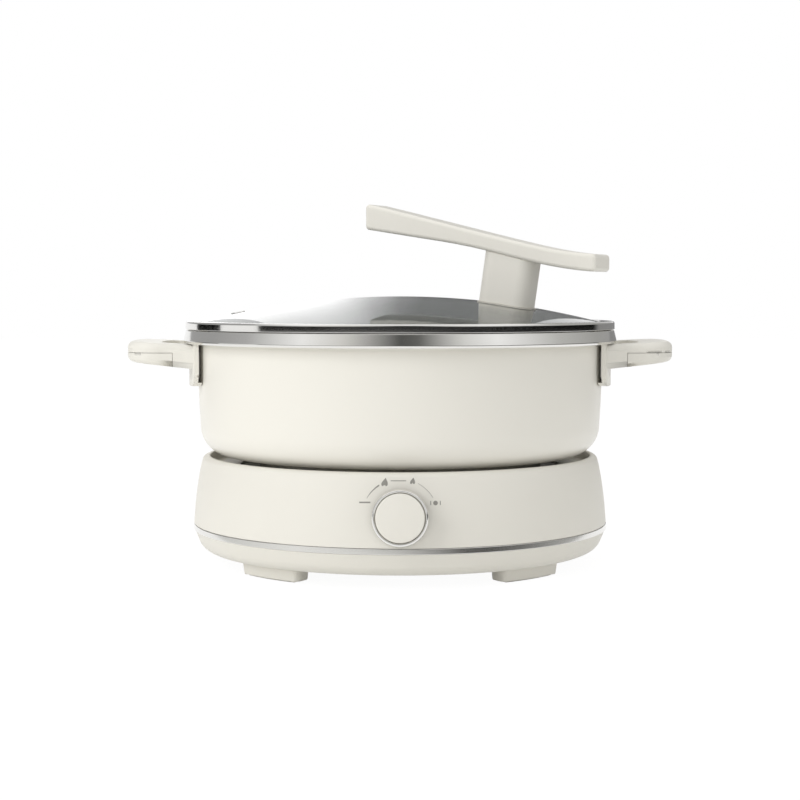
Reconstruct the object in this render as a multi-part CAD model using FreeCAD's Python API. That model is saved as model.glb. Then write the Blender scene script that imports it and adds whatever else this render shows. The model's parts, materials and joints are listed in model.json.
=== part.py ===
import FreeCAD, Part
import math
import os
from FreeCAD import Vector

# Electric hot pot: a round heating base, a lift-off pot with side handles and a glass
# lid with a tall off-centre handle. Millimetres, +Z up. The origin lies on the table
# under the pot's axis. The knob faces -Y, and the side handles lie along X.

# Base: heights above the table, and radii
PAD_HEIGHT = 0.8
PAN_Z = 9.0
PAN_FLOOR_R = 130.0
TRIM_Z = 23.9
TRIM_HEIGHT = 3.9
BASE_R = 144.9
WAIST_R = 143.2
WAIST_Z = 50.0
SHOULDER_R = 139.2
SHOULDER_Z = 70.2
LIP_R = 135.7
LIP_Z = 74.8
LIP_WIDTH = 2.4
SKIRT_Z = 66.0
WALL = 2.6
BOSS_ANGLES = (0.0, 66.0, 114.0, 180.0, 246.0, 294.0)
BOSS_RING_R = 125.0
BOSS_R = 4.4
PAN_BOSS_R = 5.4
PAN_WELL_R = 4.0
PAN_WELL_DEPTH = 3.0
SHELF_R = 112.0
SHELF_THICK = 1.8
SCREW_R = 1.6
VENT_COUNT = 12
VENT_LENGTH = 22.0
VENT_WIDTH = 3.0
VENT_RING_R = 74.0

# Feet: arc blocks, measured from the front or rear direction
FOOT_OUTER_R = 129.5
FOOT_INNER_R = 113.0
FOOT_MID_ANGLE = 43.0
FOOT_HALF_ANGLE = 12.0
FOOT_CORNER = 5.0

# Deck dish, heating plate and element
DISH_SHEET = 1.2
DISH_RIM_R = 119.8
DISH_SCREW_R = 115.8
DISH_WELL_R = 101.0
DISH_FLOOR_Z = 49.0
DISH_HOLE_R = 44.0
PLATE_R = 92.5
PLATE_TOP_Z = 70.0
PLATE_THICK = 6.5
PLATE_BORE_R = 15.2
ELEMENT_RING_R = 62.0
ELEMENT_R = 4.0
ELEMENT_Z = 57.5
ELEMENT_GAP_ANGLE = 32.0
ELEMENT_LEG_Z = 40.0
ELEMENT_BEND_R = 9.0
STUD_COUNT = 3
STUD_RING_R = 81.0
STUD_R = 3.5

# Temperature sensor in the middle of the plate
SENSOR_R = 14.0
SENSOR_WALL = 1.0
SENSOR_TOP = 1.4
SENSOR_DEPTH = 12.0
SLEEVE_R = 11.6
SLEEVE_TOP_Z = 60.0
BRIDGE_LENGTH = 108.0
BRIDGE_WIDTH = 30.0
BRIDGE_SHEET = 1.5
BRIDGE_SCREW_X = 49.0
SPRING_R = 7.6
SPRING_WIRE = 1.1
SPRING_TURNS = 3

# Knob: its axis meets the front wall at KNOB_Z and tilts up with the wall
KNOB_Z = 47.4
KNOB_WALL_Y = -143.4
KNOB_TILT = 5.0
KNOB_R = 18.6
KNOB_FRONT_R = 17.5
KNOB_FACE_R = 16.2
KNOB_GAP = 1.0
KNOB_LENGTH = 12.6
KNOB_CROWN = 0.9
SHAFT_R = 3.0
SHAFT_PLAY = 0.05
CONTROL_WIDTH = 38.0
CONTROL_HEIGHT = 32.0
CONTROL_DEPTH = 20.0
CONTROL_SCREW_X = 13.5

# Mains inlet at the rear
INLET_Z = 46.0
SHROUD_WIDTH = 62.0
SHROUD_HEIGHT = 30.0
SHROUD_Y = 156.0
INLET_FLANGE = (50.0, 22.5, 2.2)
INLET_MOUTH = (24.6, 16.8, 15.6)
INLET_PIN = (2.0, 13.0, 4.0)
INLET_PIN_PITCH = 7.0
INLET_SCREW_PITCH = 40.0
LEAD_R = 1.5
LEAD_BEND_R = 6.0

# Pot
POT_Z = 75.0
POT_CORNER_R = 19.0
POT_WAIST_R = 139.4
POT_R = 141.5
POT_WALL = 2.2
POT_FLOOR = 2.8
POT_FLANGE_R = 147.8
POT_FLANGE_Z = 154.1
PLATE_CLEARANCE = 0.3
BASE_RING_R = 99.5
BASE_RING_INNER_R = 94.0
BASE_RING_Z = 66.6
BAND_Z = 152.9
BAND_TOP_Z = 162.2
BAND_R = 151.4
BAND_SHEET = 1.1

# Side handles, given for the +X one
GRIP_REACH = 189.5
GRIP_HALF_WIDTH = 46.0
GRIP_CORNER_R = 24.0
GRIP_TOP_Z = 155.0
GRIP_NECK_TOP_Z = 152.4
GRIP_END_Z = 141.0
GRIP_NECK_Z = 135.8
GRIP_EDGE_R = 4.5
GAP_OUTER_X = 166.5
GAP_HALF_WIDTH = 30.0
GAP_CORNER_R = 9.0
FLANGE_R = 147.5
FLANGE_Z = 124.0
FLANGE_HALF_WIDTH = 49.0
FLANGE_CORNER_R = 10.0
FLANGE_LIP = 2.6
BRACKET_THICK = 3.0
BRACKET_HALF_WIDTH = 36.0
SEAM_X = 154.3
SEAM_Z = 147.0
SEAM_GAP = 0.3
GRIP_SCREW_X = 172.0
GRIP_SCREW_Y = 37.0
GRIP_SCREW_Z = 142.2

# Lid
LID_GAP = 0.4
LID_R = 150.0
LID_TOP_Z = 168.1
LID_SHEET = 0.7
LEDGE_R = 141.0
GLASS_CROWN_R = 560.0
GLASS_APEX_Z = 185.2
GLASS_THICK = 3.0
GLASS_R = 143.6
SKIRT_R = 138.4
LID_SKIRT_Z = 157.0
VENT_R = 114.0
VENT_HOLE_R = 2.0
VENT_STEM_R = 3.4
VENT_FLANGE_R = 5.4

# Lid handle: S is the distance along the bar from the lid's axis
BAR_TURN = -26.0
BAR_WIDTH = 30.0
BAR_TOP = ((-20.0, 250.0), (40.0, 235.3), (90.0, 223.1), (120.0, 216.6), (150.0, 213.1))
BAR_BOTTOM = ((150.0, 201.4), (112.0, 206.6), (60.0, 218.7), (10.0, 227.2), (-20.0, 232.0))
BAR_EDGE_R = 2.6
POST_S = 81.0
POST_LENGTH = 36.5
POST_WIDTH = 26.0
POST_CORNER_R = 9.0
POST_TOP = 40.6
POST_SEAL = 0.8
POST_SCREW_PITCH = 16.0
POST_SCREW_R = 2.4
POST_HOLE_R = 3.2

SQUARE = ((1, 1), (-1, 1), (-1, -1), (1, -1))
AXIS = Vector(0, 0, 1)
CENTRE = Vector(0, 0, 0)


def edges_of(place, start, steps):
    """Edges from start; a step is a point, or an arc's middle point and its end."""
    edges = []
    here = start
    for step in steps:
        if isinstance(step[0], tuple):
            middle, there = step
            edges.append(Part.Arc(place(here), place(middle), place(there)).toShape())
        else:
            there = step
            edges.append(Part.LineSegment(place(here), place(there)).toShape())
        here = there
    if here != start:
        edges.append(Part.LineSegment(place(here), place(start)).toShape())
    return edges


def face_of(place, start, steps):
    return Part.Face(Part.Wire(edges_of(place, start, steps)))


def upright(point):
    return Vector(point[0], 0, point[1])


def flat(point):
    return Vector(point[0], point[1], 0)


def turned(start, *steps):
    """Ring or disc turned about Z from an outline of (radius, height) points."""
    return face_of(upright, start, steps).revolve(CENTRE, AXIS, 360)


def tube(radius, inner, low, high):
    """Straight tube about Z between two heights."""
    outer = Part.makeCylinder(radius, high - low, Vector(0, 0, low))
    if inner <= 0:
        return outer
    return outer.cut(Part.makeCylinder(inner, high - low + 2, Vector(0, 0, low - 1)))


def block(width, depth, height, corner, low=0.0):
    """Plate centred on Z with rounded upright corners, from a height up."""
    a = width / 2
    b = depth / 2
    bend = corner * (1 - math.sqrt(0.5))
    outline = face_of(
        flat,
        (a, b - corner),
        (
            ((a - bend, b - bend), (a - corner, b)),
            (corner - a, b),
            ((bend - a, b - bend), (-a, b - corner)),
            (-a, corner - b),
            ((bend - a, bend - b), (corner - a, -b)),
            (a - corner, -b),
            ((a - bend, bend - b), (a, corner - b)),
            (a, b - corner),
        ),
    )
    solid = outline.extrude(Vector(0, 0, height))
    solid.translate(Vector(0, 0, low))
    return solid


def prism(sides, radius, low, high):
    """Many-sided bar about Z; the radius is to its flats."""
    corner_r = radius / math.cos(math.pi / sides)
    points = []
    for i in range(sides + 1):
        angle = 2 * math.pi * (i + 0.5) / sides
        points.append(Vector(corner_r * math.cos(angle), corner_r * math.sin(angle), low))
    return Part.Face(Part.makePolygon(points)).extrude(Vector(0, 0, high - low))


def moved(shape, x=0.0, y=0.0, z=0.0):
    copy = shape.copy()
    copy.translate(Vector(x, y, z))
    return copy


def spun(shape, degrees, axis=AXIS, about=CENTRE):
    copy = shape.copy()
    copy.rotate(about, axis, degrees)
    return copy


def ring_of(shape, count, first=0.0):
    """The shape repeated about Z at even angles."""
    return [spun(shape, first + 360.0 * i / count) for i in range(count)]


def at_bosses(shape):
    """The shape, made on the axis, repeated where the pan's screws are."""
    return [spun(moved(shape, x=BOSS_RING_R), angle) for angle in BOSS_ANGLES]


def crown(edge_r, edge_z, top_z):
    """Arc from a round face's edge to its middle, level at the axis."""
    rise = top_z - edge_z
    ball_r = (edge_r**2 + rise**2) / (2 * rise)
    half = edge_r / 2
    return ((half, top_z - ball_r + math.sqrt(ball_r**2 - half**2)), (0, top_z))


def fused(shapes):
    result = shapes[0]
    for shape in shapes[1:]:
        result = result.fuse(shape)
    return result.removeSplitter()


def screw(head_r, head_height, shank_r, length):
    """Hex-head screw about Z: head below zero, plain eight-sided shank above."""
    return prism(6, head_r, -head_height, 0.0).fuse(prism(8, shank_r, 0.0, length))


def round_path(points, bend_r):
    """Straight runs joined by tangent arcs."""
    corners = [Vector(*p) for p in points]
    edges = []
    here = corners[0]
    for before, corner, after in zip(corners, corners[1:], corners[2:]):
        back = (before - corner).normalize()
        ahead = (after - corner).normalize()
        half = back.getAngle(ahead) / 2
        trim = bend_r / math.tan(half)
        enter = corner + back * trim
        leave = corner + ahead * trim
        middle_way = (back + ahead).normalize()
        middle = corner + middle_way * (bend_r / math.sin(half) - bend_r)
        edges.append(Part.LineSegment(here, enter).toShape())
        edges.append(Part.Arc(enter, middle, leave).toShape())
        here = leave
    edges.append(Part.LineSegment(here, corners[-1]).toShape())
    return Part.Wire(edges)


def six_sided_wire(radius, centre, ahead):
    """Outline of a six-sided bar's section, square to a direction."""
    turn = FreeCAD.Rotation(AXIS, ahead)
    points = []
    for i in range(7):
        angle = math.pi * i / 3
        spoke = Vector(radius * math.cos(angle), radius * math.sin(angle), 0)
        points.append(centre + turn.multVec(spoke))
    return Part.makePolygon(points)


def swept(path, radius):
    """Six-sided bar along a path."""
    first = path.OrderedEdges[0]
    start = first.valueAt(first.FirstParameter)
    ahead = first.tangentAt(first.FirstParameter)
    return path.makePipeShell([six_sided_wire(radius, start, ahead)], True, False)


# Heating base


def housing_skin(inset):
    """Outline of the housing's wall, from its foot to its lip, moved inwards."""
    return (
        (BASE_R - inset, TRIM_Z + TRIM_HEIGHT),
        (WAIST_R - inset, WAIST_Z),
        ((141.8 - inset, 60.2), (SHOULDER_R - inset, SHOULDER_Z)),
        ((138.2 - inset * 0.8, 73.2 - inset * 0.8), (LIP_R - inset * 0.3, LIP_Z - inset)),
    )


def base_housing():
    """Moulded ring wall with a lip, an inner shelf for the deck dish, and screw posts."""
    outer_foot, outer_waist, outer_wall, outer_shoulder = housing_skin(0.0)
    inner_foot, inner_waist, inner_wall, inner_shoulder = housing_skin(WALL)
    lip_r = LIP_R - LIP_WIDTH
    shell = turned(
        outer_foot,
        outer_waist,
        outer_wall,
        outer_shoulder,
        (lip_r, LIP_Z),
        (lip_r - 0.8, SKIRT_Z + SHELF_THICK),
        (SHELF_R, SKIRT_Z + SHELF_THICK),
        (SHELF_R, SKIRT_Z),
        (lip_r + 1.2, SKIRT_Z),
        (lip_r + 1.8, LIP_Z - WALL),
        inner_shoulder[1],
        inner_wall[1],
        inner_waist,
        inner_foot,
    )
    post = prism(8, BOSS_R, TRIM_Z + TRIM_HEIGHT, SKIRT_Z + 0.5)
    post = post.cut(prism(8, SCREW_R, TRIM_Z, SKIRT_Z - 6.0))
    body = fused([shell, rear_shroud()] + at_bosses(post))
    body = body.cut(rear_pocket())
    body = body.cut(in_knob_frame(tube(4.6, 0, -8.0, 4.0)))
    for fixing in control_screw_solids() + dish_screw_solids():
        body = body.cut(fixing)
    return body


def rear_shroud():
    """Block on the rear wall that brings the inlet out to a flat face."""
    plate = block(SHROUD_WIDTH, SHROUD_HEIGHT, 20.0, 6.0)
    standing = spun(plate, -90, Vector(1, 0, 0))
    solid = moved(standing, y=SHROUD_Y - 20.0, z=INLET_Z)
    return solid.cut(tube(BASE_R - WALL - 2.0, 0, 0, 100))


def rear_pocket():
    """Room for the inlet's body and its two screws."""
    width, height, depth = INLET_MOUTH
    body = Part.makeBox(width + 3.2, 40.0, height + 3.2)
    body.translate(Vector(-(width + 3.2) / 2, SHROUD_Y - 30.0, INLET_Z - (height + 3.2) / 2))
    flange_width, flange_height, flange_thick = INLET_FLANGE
    seat = spun(block(flange_width + 0.4, flange_height + 0.4, 10.0, 4.0), -90, Vector(1, 0, 0))
    pocket = body.fuse(moved(seat, y=SHROUD_Y - flange_thick, z=INLET_Z))
    for side in (-1, 1):
        hole = in_inlet_frame(moved(prism(8, SCREW_R, -12.0, 0.0), x=side * INLET_SCREW_PITCH / 2))
        pocket = pocket.fuse(hole)
    return pocket


def bottom_pan():
    """Pan with a rounded edge, a locating rib, screw posts and vent slots."""
    foot_r = BASE_R - 0.3
    rib_r = foot_r - WALL - 0.6
    rib_z = TRIM_Z + TRIM_HEIGHT + 3.0
    shell = turned(
        (0, PAN_Z),
        (PAN_FLOOR_R, PAN_Z),
        ((138.9, 12.1), (141.4, 16.0)),
        (foot_r, TRIM_Z),
        (rib_r, TRIM_Z),
        (rib_r, rib_z),
        (rib_r - 2.0, rib_z),
        (138.4, 17.0),
        (PAN_FLOOR_R - 1.0, PAN_Z + WALL),
        (0, PAN_Z + WALL),
    )
    post = prism(8, PAN_BOSS_R, PAN_Z + WALL - 0.5, TRIM_Z + TRIM_HEIGHT)
    body = fused([shell] + at_bosses(post))
    slot = Part.makeBox(
        VENT_LENGTH, VENT_WIDTH, 12.0, Vector(VENT_RING_R, -VENT_WIDTH / 2, PAN_Z - 4.0)
    )
    cutters = ring_of(slot, VENT_COUNT) + at_bosses(prism(8, SCREW_R, PAN_Z - 2.0, 40.0))
    cutters += at_bosses(prism(8, PAN_WELL_R, PAN_Z - 1.0, PAN_Z + PAN_WELL_DEPTH))
    cutters += [spun(foot_fixing(), angle) for angle in foot_angles().values()]
    for cutter in cutters:
        body = body.cut(cutter)
    return body


def trim_ring():
    """Bright ring between pan and housing, proud of both by a hair."""
    low = TRIM_Z + 0.15
    high = TRIM_Z + TRIM_HEIGHT - 0.15
    return turned(
        (BASE_R - 2.4, low),
        (BASE_R, low),
        ((BASE_R + 0.5, (low + high) / 2), (BASE_R, high)),
        (BASE_R - 2.4, high),
    )


def foot_angles():
    """Directions of the four feet, from +X."""
    angles = {}
    for name, middle in (("front", 270.0), ("rear", 90.0)):
        for hand, sign in (("right", 1.0), ("left", -1.0)):
            turn = sign * FOOT_MID_ANGLE
            angles[name + "_" + hand] = middle + (turn if name == "front" else -turn)
    return angles


def arc_block(inner_r, outer_r, half_angle, low, high, taper, corner):
    """Block curved round Z about +X, narrower at its foot, with rounded plan corners."""
    section = face_of(
        upright,
        (inner_r + taper, low),
        ((outer_r - taper, low), (outer_r, high), (inner_r, high)),
    )
    solid = section.revolve(CENTRE, AXIS, 2 * half_angle)
    solid.rotate(CENTRE, AXIS, -half_angle)
    if corner > 0:
        solid = solid.makeFillet(corner, [e for e in solid.Edges if is_steep(e)])
    return solid


def is_steep(edge):
    box = edge.BoundBox
    return box.ZMax - box.ZMin > 0.6 * edge.Length


def foot_fixing():
    """Screw that holds a foot to the pan, about +X."""
    middle = (FOOT_INNER_R + FOOT_OUTER_R) / 2
    return moved(screw(3.2, 2.0, SCREW_R, 9.0), x=middle, z=PAD_HEIGHT + 3.8)


def feet():
    """Four feet, with a rubber pad bonded under each, and their screws."""
    shape = arc_block(
        FOOT_INNER_R, FOOT_OUTER_R, FOOT_HALF_ANGLE, PAD_HEIGHT, PAN_Z, 1.2, FOOT_CORNER
    )
    pad = arc_block(
        FOOT_INNER_R + 3.5, FOOT_OUTER_R - 3.5, FOOT_HALF_ANGLE - 2.2, 0.0, PAD_HEIGHT, 0.3, 0.0
    )
    fixing = foot_fixing()
    middle = (FOOT_INNER_R + FOOT_OUTER_R) / 2
    well = moved(prism(8, 3.6, PAD_HEIGHT - 1.0, PAD_HEIGHT + 3.8), x=middle)
    shape = shape.cut(well).cut(fixing)
    parts = {}
    for name, angle in foot_angles().items():
        parts["foot_" + name] = spun(shape, angle)
    angles = foot_angles().values()
    parts["foot_pads"] = Part.makeCompound([spun(pad, a) for a in angles])
    parts["foot_screws"] = Part.makeCompound([spun(fixing, a) for a in angles])
    return parts


def pan_screws():
    fixing = moved(screw(3.4, 2.0, SCREW_R, 32.0), z=PAN_Z + PAN_WELL_DEPTH)
    return Part.makeCompound(at_bosses(fixing))


def deck_dish():
    """Pressed steel dish: rim under the housing's shelf, slope, well and centre hole."""
    rim_z = SKIRT_Z
    sheet = DISH_SHEET
    floor = DISH_FLOOR_Z
    dish = turned(
        (DISH_RIM_R, rim_z),
        (SHELF_R - 0.5, rim_z),
        (DISH_WELL_R, rim_z - 5.0),
        (DISH_WELL_R - 2.0, floor),
        (DISH_HOLE_R, floor),
        (DISH_HOLE_R, floor - sheet),
        (DISH_WELL_R - 0.9, floor - sheet),
        (DISH_WELL_R + sheet, rim_z - 5.9),
        (SHELF_R, rim_z - sheet),
        (DISH_RIM_R, rim_z - sheet),
    )
    cutters = ring_of(moved(prism(8, 2.6, floor - 4, floor + 4), x=STUD_RING_R), STUD_COUNT)
    cutters += bridge_screw_solids() + dish_screw_solids()
    cutters += [moved(prism(8, ELEMENT_R + 3.0, floor - 4, floor + 4), x, y) for x, y in element_leg_points()]
    for cutter in cutters:
        dish = dish.cut(cutter)
    return dish


def dish_screw_solids():
    """Screws that hold the dish's rim up to the housing's shelf."""
    fixing = screw(2.6, 1.6, 1.3, DISH_SHEET + SHELF_THICK - 0.5)
    return ring_of(moved(fixing, x=DISH_SCREW_R, z=SKIRT_Z - DISH_SHEET), STUD_COUNT, 30.0)


def heating_plate():
    """Cast plate with a rib that holds the element, three studs' bosses and a bore."""
    top = PLATE_TOP_Z
    under = top - PLATE_THICK
    plate = turned(
        (PLATE_BORE_R, top),
        (PLATE_R - 1.2, top),
        (PLATE_R, top - 1.2),
        (PLATE_R, under),
        (ELEMENT_RING_R + 8.0, under),
        (ELEMENT_RING_R + 6.5, ELEMENT_Z),
        (ELEMENT_RING_R - 6.5, ELEMENT_Z),
        (ELEMENT_RING_R - 8.0, under),
        (PLATE_BORE_R, under),
    )
    boss = moved(prism(8, STUD_R + 2.0, DISH_FLOOR_Z, under + 1.0), x=STUD_RING_R)
    body = fused([plate] + ring_of(boss, STUD_COUNT))
    for fixing in plate_screw_solids():
        body = body.cut(fixing)
    return body.cut(heating_element())


def element_leg_points():
    """Where the two straight legs of the element stand, in X and Y."""
    half = math.radians(ELEMENT_GAP_ANGLE / 2)
    points = []
    for sign in (1, -1):
        angle = math.radians(90.0) + sign * half
        across = Vector(math.sin(angle), -math.cos(angle), 0) * (sign * ELEMENT_BEND_R)
        place = Vector(math.cos(angle), math.sin(angle), 0) * ELEMENT_RING_R + across
        points.append((place.x, place.y))
    return points


def heating_element():
    """Six-sided sheathed bar bent to a ring, its two ends turned down towards the rear."""
    half = math.radians(ELEMENT_GAP_ANGLE / 2)
    bend_z = ELEMENT_Z - ELEMENT_BEND_R
    dip = ELEMENT_BEND_R * (1 - math.sqrt(0.5))
    legs = []
    for sign, (x, y) in zip((-1, 1), reversed(element_leg_points())):
        angle = math.radians(90.0) + sign * half
        end = Vector(math.cos(angle), math.sin(angle), 0) * ELEMENT_RING_R
        leg_top = Vector(x, y, bend_z)
        end.z = ELEMENT_Z
        middle = end + (Vector(x, y, ELEMENT_Z) - end) * math.sqrt(0.5) - Vector(0, 0, dip)
        legs.append((Vector(x, y, ELEMENT_LEG_Z), leg_top, middle, end))
    foot, top, middle, end = legs[0]
    far_foot, far_top, far_middle, far_end = legs[1]
    ring_low = Vector(0, -ELEMENT_RING_R, ELEMENT_Z)
    path = Part.Wire(
        [
            Part.LineSegment(foot, top).toShape(),
            Part.Arc(top, middle, end).toShape(),
            Part.Arc(end, ring_low, far_end).toShape(),
            Part.Arc(far_end, far_middle, far_top).toShape(),
            Part.LineSegment(far_top, far_foot).toShape(),
        ]
    )
    solids = [swept(path, ELEMENT_R)]
    for place in (foot, far_foot):
        solids.append(moved(prism(8, 1.6, -7.0, 1.0), place.x, place.y, place.z))
    return fused(solids)


def plate_screw_solids():
    """Screws that hold the plate's bosses to the dish."""
    under = DISH_FLOOR_Z - DISH_SHEET
    fixing = screw(4.4, 2.4, 2.4, 9.0)
    return ring_of(moved(fixing, x=STUD_RING_R, z=under), STUD_COUNT)


def sensor_bridge():
    """Strap under the dish that crosses its centre hole and carries the sleeve."""
    z = DISH_FLOOR_Z - DISH_SHEET - BRIDGE_SHEET
    strap = block(BRIDGE_LENGTH, BRIDGE_WIDTH, BRIDGE_SHEET, 6.0, z)
    strap = strap.cut(prism(8, 4.0, z - 1, z + 3))
    sleeve = tube(SLEEVE_R, SLEEVE_R - 1.5, z + BRIDGE_SHEET - 0.4, SLEEVE_TOP_Z)
    body = fused([strap, sleeve])
    for fixing in bridge_screw_solids():
        body = body.cut(fixing)
    return body


def bridge_screw_solids():
    z = DISH_FLOOR_Z - DISH_SHEET - BRIDGE_SHEET
    fixing = screw(3.0, 1.8, 1.5, 3.4)
    return [moved(fixing, x=side * BRIDGE_SCREW_X, z=z) for side in (-1, 1)]


def sensor_cap():
    """Cup that presses on the pot's underside, with a flange that stops it."""
    top = PLATE_TOP_Z
    low = top - SENSOR_DEPTH
    return turned(
        (0, top),
        (SENSOR_R - 1.0, top),
        (SENSOR_R, top - 1.0),
        (SENSOR_R, low),
        (SENSOR_R - SENSOR_WALL, low),
        (SENSOR_R - SENSOR_WALL, top - SENSOR_TOP),
        (0, top - SENSOR_TOP),
    )


def sensor_probe():
    top = PLATE_TOP_Z - SENSOR_TOP
    return tube(4.6, 0, top - 3.0, top)


def sensor_spring():
    """Coil spring of square wire between the bridge strap and the cap."""
    half = SPRING_WIRE / 2
    low = DISH_FLOOR_Z - DISH_SHEET + half + 0.1
    high = PLATE_TOP_Z - SENSOR_TOP - half - 0.1
    pitch = (high - low) / SPRING_TURNS
    helix = Part.makeHelix(pitch, high - low, SPRING_R)
    helix.translate(Vector(0, 0, low))
    corners = [(SPRING_R + i * half, 0, low + j * half) for i, j in SQUARE]
    section = Part.makePolygon([Vector(*c) for c in corners + corners[:1]])
    return Part.Wire(helix.Edges).makePipeShell([section], True, True)


def limit_thermostat():
    """Round snap thermostat on the plate's underside, with its two tabs."""
    top = PLATE_TOP_Z - PLATE_THICK
    can = tube(8.0, 0, top - 7.0, top)
    ear = block(24.0, 7.0, 0.8, 2.0, top - 2.0)
    body = can.fuse(ear)
    for side in (-1, 1):
        tab = Part.makeBox(0.8, 6.0, 8.0, Vector(side * 4.0 - 0.4, -3.0, top - 14.0))
        body = body.fuse(tab)
    return moved(body.removeSplitter(), x=-36.0, y=-8.0)


# Knob and rotary control


def in_knob_frame(shape):
    """Places a shape modelled about Z on the knob's axis, with Z pointing out."""
    copy = shape.copy()
    copy.rotate(CENTRE, Vector(1, 0, 0), 90.0 - KNOB_TILT)
    copy.translate(Vector(0, KNOB_WALL_Y, KNOB_Z))
    return copy


def knob_ring():
    """Bright skirt of the knob, slightly tapered, open at the back."""
    front = KNOB_GAP + KNOB_LENGTH - 1.4
    shape = turned(
        (KNOB_R, KNOB_GAP),
        (KNOB_FRONT_R, front - 0.6),
        (KNOB_FRONT_R - 0.6, front),
        (KNOB_FACE_R, front),
        (KNOB_FACE_R, KNOB_GAP + 1.2),
        (KNOB_R - 1.2, KNOB_GAP),
    )
    return in_knob_frame(shape)


def knob_cap():
    """Face of the knob, slightly crowned, with a stub that plugs into the ring."""
    front = KNOB_GAP + KNOB_LENGTH
    edge = front - KNOB_CROWN
    shape = turned(
        (0, front - 4.6),
        (KNOB_FACE_R, front - 4.6),
        (KNOB_FACE_R, edge - 0.6),
        (KNOB_FACE_R - 0.6, edge),
        crown(KNOB_FACE_R - 0.6, edge, front),
    )
    return in_knob_frame(shape)


def knob_core():
    """Hub inside the ring with a flat-sided bore and three ribs."""
    back = KNOB_GAP + 1.4
    front = KNOB_GAP + KNOB_LENGTH - 4.6
    hub = tube(6.0, 0, back, front)
    web = tube(KNOB_FACE_R, 0, front - 2.0, front)
    rib = Part.makeBox(KNOB_FACE_R - 5.4, 1.6, front - back - 1.0, Vector(5.0, -0.8, back + 1.0))
    body = fused([hub, web] + ring_of(rib, 3, 90.0))
    return in_knob_frame(body.cut(shaft_bar(back - 1.0, front - 2.0)))


def shaft_bar(low, high):
    """Shaft with one flat."""
    bar = tube(SHAFT_R, 0, low, high)
    flat_side = Part.makeBox(8.0, 2.0, 8.0, Vector(-4.0, SHAFT_R - 0.9, high - 8.0))
    return bar.cut(flat_side)


def knob_shaft():
    return in_knob_frame(shaft_bar(-16.0, KNOB_GAP + KNOB_LENGTH - 6.6))


def control_body():
    """Rotary control behind the front wall, with a bush for the shaft."""
    case = block(CONTROL_WIDTH, CONTROL_HEIGHT, CONTROL_DEPTH, 3.0, -8.0 - CONTROL_DEPTH)
    bush = tube(4.4, 0, -8.0, 0.2)
    shape = fused([case, bush])
    shape = shape.cut(tube(SHAFT_R + SHAFT_PLAY, 0, -16.0, 1.0))
    for side in (-1, 1):
        tab = Part.makeBox(6.0, 0.8, 9.0, Vector(side * 10.0 - 3.0, 4.0, -36.0))
        shape = shape.fuse(tab)
    return in_knob_frame(shape.removeSplitter())


def control_plate():
    """Steel plate that screws the control to the wall's two spacers."""
    plate = block(40.0, 20.0, 1.5, 4.0, -8.0)
    plate = plate.cut(tube(4.6, 0, -9.0, 0.0))
    for side in (-1, 1):
        spacer = moved(prism(8, 3.2, -6.9, -3.9), x=side * CONTROL_SCREW_X)
        plate = plate.fuse(spacer)
    plate = in_knob_frame(plate.removeSplitter())
    for fixing in control_screw_solids():
        plate = plate.cut(fixing)
    return plate


def control_screw_solids():
    """Two countersunk screws, hidden behind the knob's ring."""
    shapes = []
    for side in (-1, 1):
        fixing = prism(8, 2.8, -1.8, -0.9).fuse(prism(8, SCREW_R, -7.9, -1.8))
        shapes.append(in_knob_frame(moved(fixing, x=side * CONTROL_SCREW_X)))
    return shapes


# Mains inlet


def inlet_socket():
    """Flanged inlet with a deep mouth whose two upper corners are cut."""
    width, height, depth = INLET_MOUTH
    flange_width, flange_height, flange_thick = INLET_FLANGE
    flange = block(flange_width, flange_height, flange_thick, 4.0, -flange_thick)
    body = block(width + 3.0, height + 3.0, depth + 2.0, 2.0, -depth - 2.0 - 0.4)
    corner = height * 0.3
    a = width / 2
    b = height / 2
    mouth_face = face_of(
        flat, (-a, -b), ((a, -b), (a, b - corner), (a - corner, b), (corner - a, b), (-a, b - corner))
    )
    mouth = moved(mouth_face.extrude(Vector(0, 0, depth + 1.0)), z=-depth)
    shape = fused([flange, body]).cut(mouth)
    for side in (-1, 1):
        shape = shape.cut(moved(prism(8, SCREW_R, -9.0, 3.0), x=side * INLET_SCREW_PITCH / 2))
    return in_inlet_frame(shape).cut(inlet_pins())


def in_inlet_frame(shape):
    """Places a shape modelled about Z at the rear, with Z pointing out and Y up."""
    copy = spun(shape, 180.0)
    copy.rotate(CENTRE, Vector(1, 0, 0), -90.0)
    copy.translate(Vector(0, SHROUD_Y, INLET_Z))
    return copy


def inlet_pins():
    thick, length, tall = INLET_PIN
    back = -INLET_MOUTH[2]
    pins = []
    for x, y in ((-INLET_PIN_PITCH, -2.0), (INLET_PIN_PITCH, -2.0), (0.0, 2.0)):
        blade = Part.makeBox(thick, tall, length, Vector(x - thick / 2, y - tall / 2, back))
        tab = Part.makeBox(0.8, 5.0, 9.5, Vector(x - 0.4, y - 2.5, back - 9.5))
        pins.append(in_inlet_frame(blade.fuse(tab)))
    return Part.makeCompound(pins)


def inlet_screws():
    shapes = []
    for side in (-1, 1):
        fixing = spun(screw(2.8, 1.6, SCREW_R, 8.0), 180.0, Vector(1, 0, 0))
        shapes.append(in_inlet_frame(moved(fixing, x=side * INLET_SCREW_PITCH / 2)))
    return Part.makeCompound(shapes)


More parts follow.
